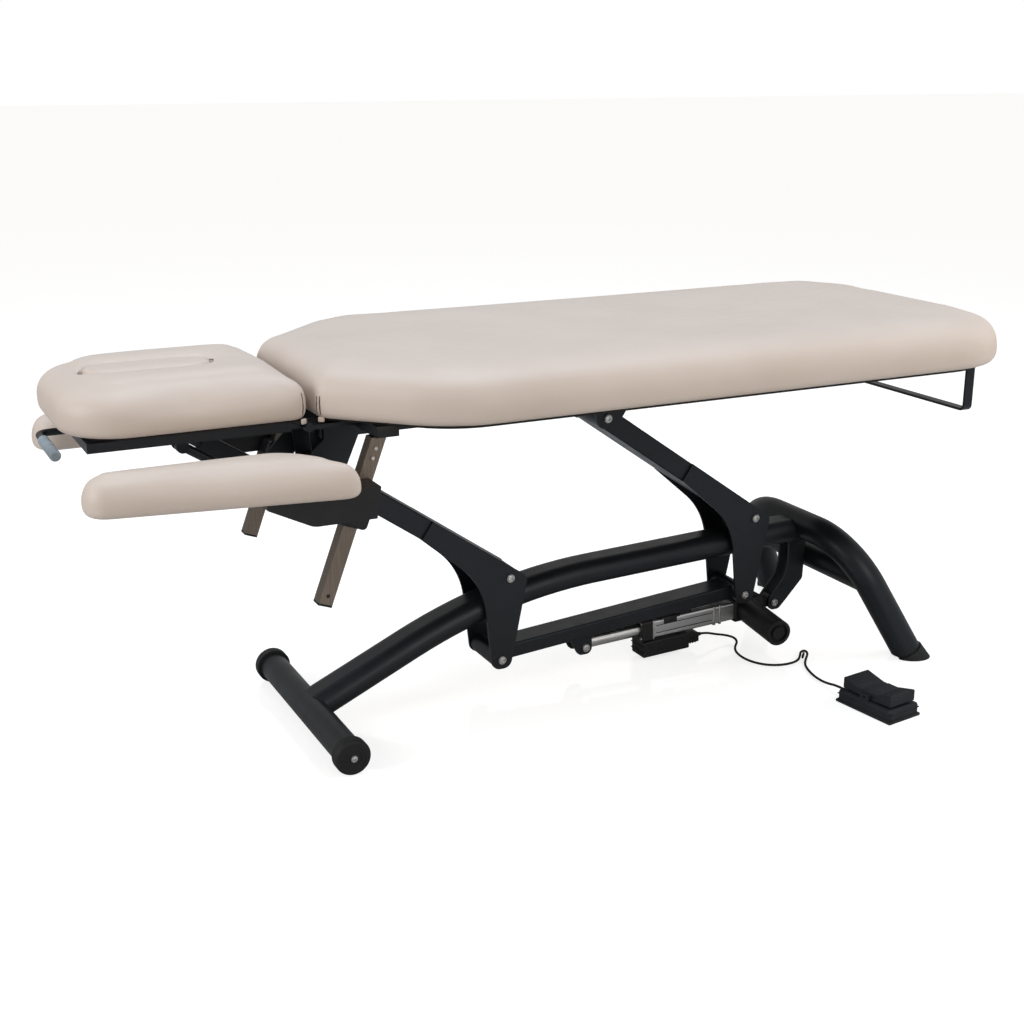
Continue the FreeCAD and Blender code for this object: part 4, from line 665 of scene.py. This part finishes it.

# %% [markdown]
# ## Upholstery details
# Where the two sections meet, the vinyl is gathered at the corners: a tongue of cover folded down
# over the foot, with painted shade for the crease on each side, a thin dark strip. Thin strips are
# laid on the cushion with a shrinkwrap and given the thickness of the cover.

# %% Pleats


def laid_on(name, shape, target, body, finish, thick):
    """Lays a thin strip on a cushion, thickens it and lets it ride along."""
    mesh = bpy.data.meshes.new(name)
    shape.to_mesh(mesh)
    shape.free()
    strip = bpy.data.objects.new(name, mesh)
    scene.collection.objects.link(strip)
    wrap = strip.modifiers.new("wrap", "SHRINKWRAP")
    wrap.target = target
    wrap.wrap_method = "NEAREST_SURFACEPOINT"
    wrap.wrap_mode = "ABOVE_SURFACE"
    wrap.offset = 0.0004
    depth = strip.modifiers.new("depth", "SOLIDIFY")
    depth.thickness = thick
    depth.offset = 1
    bpy.context.view_layer.update()
    seen_now = strip.evaluated_get(bpy.context.evaluated_depsgraph_get())
    baked = bmesh.new()
    baked.from_mesh(seen_now.data)
    bpy.data.objects.remove(strip)
    return piece(name, baked, body, finish)


def tongue(corner, way, width, low, high, aside=0.0):
    """A narrow upright strip before a corner, narrower at its top."""
    shape = bmesh.new()
    out = Vector((*way, 0)).normalized()
    along = out.cross(Vector((0, 0, 1)))
    middle = at(*corner, (low + high) / 2) + along * aside
    turn = Matrix((along, Vector((0, 0, 1)), -out)).transposed().to_4x4()
    size = Matrix.Diagonal((width / 2000, (high - low) / 2000, 1, 1))
    bmesh.ops.create_grid(shape, x_segments=6, y_segments=16, size=1,
                          matrix=Matrix.Translation(middle) @ turn @ size)
    top = [vert for vert in shape.verts if vert.co.z > middle.z]
    bmesh.ops.scale(shape, vec=(0.6, 0.6, 1), verts=top, space=Matrix.Translation(-middle))
    return shape


# Dark brown vinyl is painted shade: it stands for the shade in the folds of creases and pinches.
painted_shade_vinyl = vinyl_finish("painted_shade_vinyl", (0.03, 0.018, 0.012), (0.06, 0.036, 0.024))
for side, sign in (("near", -1), ("far", 1)):
    for name, cushion, body, corner, way, high, creases in (
            ("main", main_cushion, "top_frame", (-26, 175), (-0.6, 0.8), 664, (-1, 1)),
            ("head", head_cushion, "head", (-32.5, 177), (0.5, 0.85), 676, (1,))):
        spot, out = (corner[0], sign * corner[1]), (way[0], sign * way[1])
        label = f"{side}_{name}_pleat"
        laid_on(label, tongue(spot, out, 9, 624, high), cushion, body, vinyl, 0.0016)
        for edge in creases:
            # Beside the tongue, thin dark strips paint the shade of the crease on each side.
            crease_shade = tongue(spot, out, 3.4, 625, high - 2, edge * -sign * 0.0058)
            laid_on(f"{label}_crease_{edge + 1}", crease_shade, cushion, body, painted_shade_vinyl, 0.0007)
        flap = bmesh.new()
        turn = Matrix.Rotation(math.atan2(out[1], out[0]), 4, "Z")
        slab(flap, at(spot[0] - 22 * way[0], sign * (corner[1] - 4), 621), (5, 11, 9), turn, 2.2, 3)
        piece(label + "_flap", flap, body, vinyl)

# %% [markdown]
# The slot in the head cushion is pinched at its two ends: short creases that fork inwards, drawn as
# thin dark strips of painted shade.

# %% Slot pinches
for end in (-1, 1):
    for fork in (-50, 50):
        way = math.radians(fork if end < 0 else 180 - fork)
        pinch_shade = bmesh.new()
        turn = Matrix.Rotation(way, 4, "Z") @ Matrix.Translation((0.006, 0, 0))
        size = Matrix.Diagonal((0.006, 0.0011, 1, 1))
        spot = Matrix.Translation(at(slot_middle + end * 109, 0, 706))
        bmesh.ops.create_grid(pinch_shade, x_segments=8, y_segments=2, size=1, matrix=spot @ turn @ size)
        label = f"slot_pinch_{end + 1}_{fork + 50}"
        # Each pinch is a thin dark strip: painted shade for the fold.
        laid_on(label, pinch_shade, head_cushion, "head", painted_shade_vinyl, 0.0004)
print("slot pinches ready")

# %% [markdown]
# Underneath, a black dust cloth is turned in and stapled to the board: a flat hem all round, with a
# row of staples along it.

# %% Hems and staples
hem_inset, hem_height, staple_height, staple_gap = 39, 613.4, 612.0, 0.045
for name, body, corners, radii, width in (
        ("main", "top_frame", main_corners, main_radii, 62),
        ("head", "head", head_corners, head_radii, 54)):
    shares = [1] * len(corners)
    hem = bmesh.new()
    loops = []
    for inset in (hem_inset, width):
        face = ring(hem, *drawn_in(corners, radii, shares, inset), hem_height, 8)
        loops += face.edges[:]
        bmesh.ops.delete(hem, geom=[face], context="FACES_ONLY")
    bmesh.ops.bridge_loops(hem, edges=loops)
    bmesh.ops.solidify(hem, geom=hem.faces[:], thickness=0.0012)
    bmesh.ops.recalc_face_normals(hem, faces=hem.faces)
    piece(name + "_hem", hem, body, rubber, smooth=False)
    row = bmesh.new()
    line = ring(row, *drawn_in(corners, radii, shares, width - 12), staple_height, 5)
    runs = [[vert.co.copy() for vert in edge.verts] for edge in line.edges]
    row.clear()
    for start, end in runs:
        way = end - start
        count = max(1, round(way.length / staple_gap))
        turn = Matrix.Rotation(math.atan2(way.y, way.x), 4, "Z")
        for number in range(count):
            slab(row, start + way * ((number + 0.5) / count), (10, 1.2, 0.7), turn, 0.2, 1)
    piece(name + "_staples", row, body, zinc)
print("hems and staples ready")

# %% [markdown]
# ## Fasteners
# Every pivot bolt has a socket head with a six-sided key hole. The small screws of the actuator
# have the same head.

# %% Bolt heads


def facing(spot, way):
    """A place whose Z axis looks along a way."""
    return Matrix.Translation(spot) @ way.to_track_quat("Z", "Y").to_matrix().to_4x4()


def socket_head(shape, place, radius, height):
    """Adds a round head with a six-sided socket to a shape, its foot at the place; sizes in mm."""
    radius, height = radius / 1000, height / 1000
    lift = place @ Matrix.Translation((0, 0, height))
    axis = place.to_3x3() @ Vector((0, 0, 1))
    loops = []
    for segments, size in ((24, radius), (6, 0.52 * radius)):
        verts = bmesh.ops.create_circle(shape, segments=segments, radius=size, matrix=lift)["verts"]
        loops.append(list(dict.fromkeys(edge for vert in verts for edge in vert.link_edges)))
    bmesh.ops.bridge_loops(shape, edges=loops[0] + loops[1])
    for loop, drop in zip(loops, (height, 0.8 * height)):
        grown = bmesh.ops.extrude_edge_only(shape, edges=loop)["geom"]
        verts = [part for part in grown if isinstance(part, bmesh.types.BMVert)]
        bmesh.ops.translate(shape, vec=axis * -drop, verts=verts)
    floor_edges = [part for part in grown if isinstance(part, bmesh.types.BMEdge)
                   and all(vert in verts for vert in part.verts)]
    bmesh.ops.contextual_create(shape, geom=floor_edges)
    bevelled(shape, loops[0], 0.2 * radius, 2)
    bmesh.ops.recalc_face_normals(shape, faces=shape.faces)


near_way, far_way = Vector((0, -1, 0)), Vector((0, 1, 0))
cap_y = 1000 * (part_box("base_bolts")[1].y - table_zero.y)
bar_z = 1000 * table_zero.z
pivot_bolts = {
    "base": [(1038, 23, 75, 6.8), (0, cap_y, bar_z, 5.2)],
    "rear_arm": [(953, 58, 285, 7), (935, 58, 120, 7)],
    "front_arm": [(391, 58, 243, 7), (373, 58, 78, 7)],
    "link": [(576, 25, 55, 6.8)],
    "top_frame": [(35.9, 58.5, 490.7, 7), (597.9, 58.5, 532.7, 7)],
}
for body, spots in pivot_bolts.items():
    heads = bmesh.new()
    for x, y, z, radius in spots:
        for way in (near_way, far_way):
            socket_head(heads, facing(at(x, way.y * y, z), way), radius, 2.4)
    crisp(piece(body + "_bolt_heads", heads, body, zinc))

# %% [markdown]
# ## Base details
# The rubber caps of the foot bar have two raised rings round them and two on their ends. Weld beads
# run round the feet of the two pivot lugs on the beam.

# %% Cap rings


def hoop(shape, centre, axis, radius, thick):
    """Adds a round ring about an axis to a shape; sizes in millimetres."""
    across = axis.orthogonal().normalized()
    place = facing(centre + across * (radius / 1000), across.cross(axis))
    verts = bmesh.ops.create_circle(shape, segments=10, radius=thick / 1000, matrix=place)["verts"]
    edges = list(dict.fromkeys(edge for vert in verts for edge in vert.link_edges))
    bmesh.ops.spin(shape, geom=verts + edges, cent=centre, axis=axis, angle=2 * math.pi, steps=56,
                   use_merge=True)
    bmesh.ops.recalc_face_normals(shape, faces=shape.faces)


rings = bmesh.new()
cap_end, rim_radius = 237, 31.9
for way in (near_way, far_way):
    for back in (16, 10):
        hoop(rings, at(0, way.y * (cap_end - back), bar_z), far_way, rim_radius, 0.8)
    for radius in (15, 22.5):
        hoop(rings, at(0, way.y * cap_end, bar_z), far_way, radius, 0.9)
piece("cap_rings", rings, "base", rubber)
print("cap rings ready")

# %% Weld beads


def bead(name, body, spots, radius):
    """A closed line of weld along some points, a little uneven."""
    curve = bpy.data.curves.new(name, "CURVE")
    curve.dimensions = "3D"
    curve.bevel_depth = radius
    curve.bevel_resolution = 3
    line = curve.splines.new("POLY")
    line.points.add(len(spots) - 1)
    for number, (point, spot) in enumerate(zip(line.points, spots)):
        point.co = (*spot, 1)
        point.radius = 1 + 0.22 * math.sin(2.4 * number) + 0.12 * noise.noise(spot * 240)
    line.use_cyclic_u = True
    made = bpy.data.objects.new(name, curve)
    scene.collection.objects.link(made)
    curve.materials.append(black_steel)
    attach(made, body)


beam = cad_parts["main_beam"]
bead_step = 2.5
for name, middle_x in (("front", 391), ("rear", 953)):
    corners = [(-20, -35), (20, -35), (20, 35), (-20, 35)]
    spots = []
    for (x0, y0), (x1, y1) in zip(corners, corners[1:] + corners[:1]):
        steps = round(math.hypot(x1 - x0, y1 - y0) / bead_step)
        for step in range(steps):
            share = step / steps
            above = at(middle_x + x0 + (x1 - x0) * share, y0 + (y1 - y0) * share, 400)
            hit, place, _, _ = beam.ray_cast(above, Vector((0, 0, -1)))
            if hit:
                spots.append(place)
    bead(name + "_lug_weld", "base", spots, 0.0024)
print("weld beads ready")

# %% [markdown]
# ## Actuator details
# The drawn case has three thin bands, extrusion grooves along its sides drawn as thin dark strips
# of painted shade, screws at its nose and a plastic strap on top. The control box has seams and
# ribs, and its plug a soft cable boot. All of them are set out from the actuator's axis, which rises
# a little to the rear.

# %% Actuator
axis_x, axis_z = 576, 58
pitch = math.atan2(17, 462)
lean = Matrix.Rotation(-pitch, 4, "Y")


def beside(x, side, up):
    """A point beside the actuator's axis, in millimetres."""
    return at(x, side, axis_z + (x - axis_x) * math.tan(pitch) + up)


bands = bmesh.new()
band_out, band_thick, band_side = 20.1, 1.4, 41.6
for x, wide in ((886, 5), (900, 5), (737, 4)):
    for side in (-1, 1):
        slab(bands, beside(x, side * band_out, 0), (wide, band_thick, band_side), lean, 0.4)
        slab(bands, beside(x, 0, side * band_out), (wide, band_side, band_thick), lean, 0.4)
crisp(piece("case_bands", bands, "actuator", zinc))
# The grooves are thin black strips on the case: painted shade where the grooves run.
groove_shades = bmesh.new()
for side in (-1, 1):
    for up in (-8, 8):
        slab(groove_shades, beside(812, side * 20, up), (138, 0.7, 1.6), lean)
for side in (-1, 1):
    slab(groove_shades, beside(812, side * 8, 20), (138, 1.6, 0.7), lean)
piece("case_groove_shades", groove_shades, "actuator", black_plastic, smooth=False)
screws = bmesh.new()
for side in (-1, 1):
    for up in (-16, 16):
        socket_head(screws, facing(beside(710, side * 16, up), Vector((-1, 0, 0))), 3.2, 1.6)
crisp(piece("nose_screws", screws, "actuator", zinc))
strap = bmesh.new()
slab(strap, beside(777, 0, 20.5), (46, 43, 5), lean, 1.5)
slab(strap, beside(768, 0, 24), (16, 26, 4), lean, 1.5)
for side in (-1, 1):
    slab(strap, beside(777, side * 20.8, 15), (30, 3, 14), lean, 1.0)
crisp(piece("case_strap", strap, "actuator", black_plastic))
print("actuator details ready")

# %% Control box
box_details = bmesh.new()
slab(box_details, beside(766, 0, -33), (113, 49.2, 1.6), lean, 0.5)
slab(box_details, beside(766, 0, -46), (113, 49.2, 1.2), lean, 0.4)
for x in (722, 738, 754):
    slab(box_details, beside(x, -24.2, -40), (9, 1.6, 7), lean, 0.6)
for x in (832, 838, 844):
    slab(box_details, beside(x, 0, -42), (2.4, 30.4, 21.6), lean, 0.5)
crisp(piece("control_box_ribs", box_details, "actuator", black_plastic))
boot = bmesh.new()
boot_place = facing(beside(859, 0, -42.4), (lean @ Vector((1, 0, 0))))
bmesh.ops.create_cone(boot, cap_ends=True, segments=24, radius1=0.0062, radius2=0.0034, depth=0.014,
                      matrix=boot_place)
crisp(piece("cable_boot", boot, "actuator", rubber))
print("control box details ready")

# %% [markdown]
# ## Foot switch details
# The rocker has two treads with raised ribs, which are set on its surface by looking down on it.
# The housing stands on a wider rubber skirt, and a tie holds the fold of the cable.

# %% Foot switch
switch_middle = at(995, -418, 0)
switch_turn = Matrix.Rotation(math.radians(8), 4, "Z")


def on_switch(across, along, height):
    """A point on the foot switch: across it, along it, and from the floor, in millimetres."""
    return switch_middle + switch_turn @ Vector((across / 1000, along / 1000, height / 1000))


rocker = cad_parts["foot_switch_rocker"]
treads = bmesh.new()
for along in (-52, -45, -38, -31, 31, 38, 45, 52):
    _, place, normal, _ = rocker.ray_cast(on_switch(0, along, 120), Vector((0, 0, -1)))
    tilt = normal.rotation_difference(Vector((0, 0, 1))).inverted().to_matrix().to_4x4()
    slab(treads, place, (52, 3.2, 1.6), tilt @ switch_turn, 0.6)
piece("tread_ribs", treads, "rocker", rubber)
skirt = bmesh.new()
slab(skirt, on_switch(0, 0, 3), (85, 137, 6), switch_turn, 2.0)
slab(skirt, on_switch(0, 0, 17.5), (81, 133, 1.6), switch_turn, 0.5)
piece("switch_skirt", skirt, "base", rubber)
tie = bmesh.new()
tie_turn = Matrix.Rotation(math.radians(-45), 4, "Z")
slab(tie, at(1019, -154, 5.6), (4, 19, 7.4), tie_turn, 1.0)
piece("cable_tie", tie, "base", black_plastic)
print("foot switch details ready")

# %% [markdown]
# ## Armrest and frame details
# Each post has a hole near its foot, drawn as a thin dark disc of painted shade; the tubes of the
# top frame are closed with plastic plugs, and each clamp has a five-lobed knob.

# %% Posts, plugs and knobs
post_tan = math.tan(math.radians(20.5))
# Each hole is a thin black disc on the post: painted shade for the inside of the hole.
hole_shades = bmesh.new()
for way in (near_way, far_way):
    spot = at(-36 + 14 * post_tan, way.y * 224.5, 332)
    bmesh.ops.create_cone(hole_shades, cap_ends=True, segments=20, radius1=0.0034, radius2=0.0034,
                          depth=0.0006, matrix=facing(spot, way))
piece("post_hole_shades", hole_shades, "top_frame", black_plastic, smooth=False)
plugs = bmesh.new()
for side in (-1, 1):
    for x in (18.5, 1331.5):
        slab(plugs, at(x, side * 67, 579), (3, 25, 30), soft=1.2)
    for x in (80, 476.7, 873.3, 1270):
        slab(plugs, at(x, side * 231.5, 604), (40, 3, 20), soft=1.2)
piece("tube_plugs", plugs, "top_frame", black_plastic)
lobe_count, lobe_out, lobe_radius = 5, 0.011, 0.0062
for side in ("near", "far"):
    low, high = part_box(side + "_armrest_knob")
    centre = (low + high) / 2
    lobes = bmesh.new()
    for number in range(lobe_count):
        turn = math.radians(360 / lobe_count * number)
        spot = centre + Vector((math.cos(turn), 0, math.sin(turn))) * lobe_out
        bmesh.ops.create_cone(lobes, cap_ends=True, segments=20, radius1=lobe_radius,
                              radius2=lobe_radius, depth=0.017, matrix=facing(spot, far_way))
    bevelled(lobes, lobes.edges[:], 0.0012, 2)
    crisp(piece(side + "_knob_lobes", lobes, side + "_armrest", black_plastic))
print("posts, plugs and knobs ready")
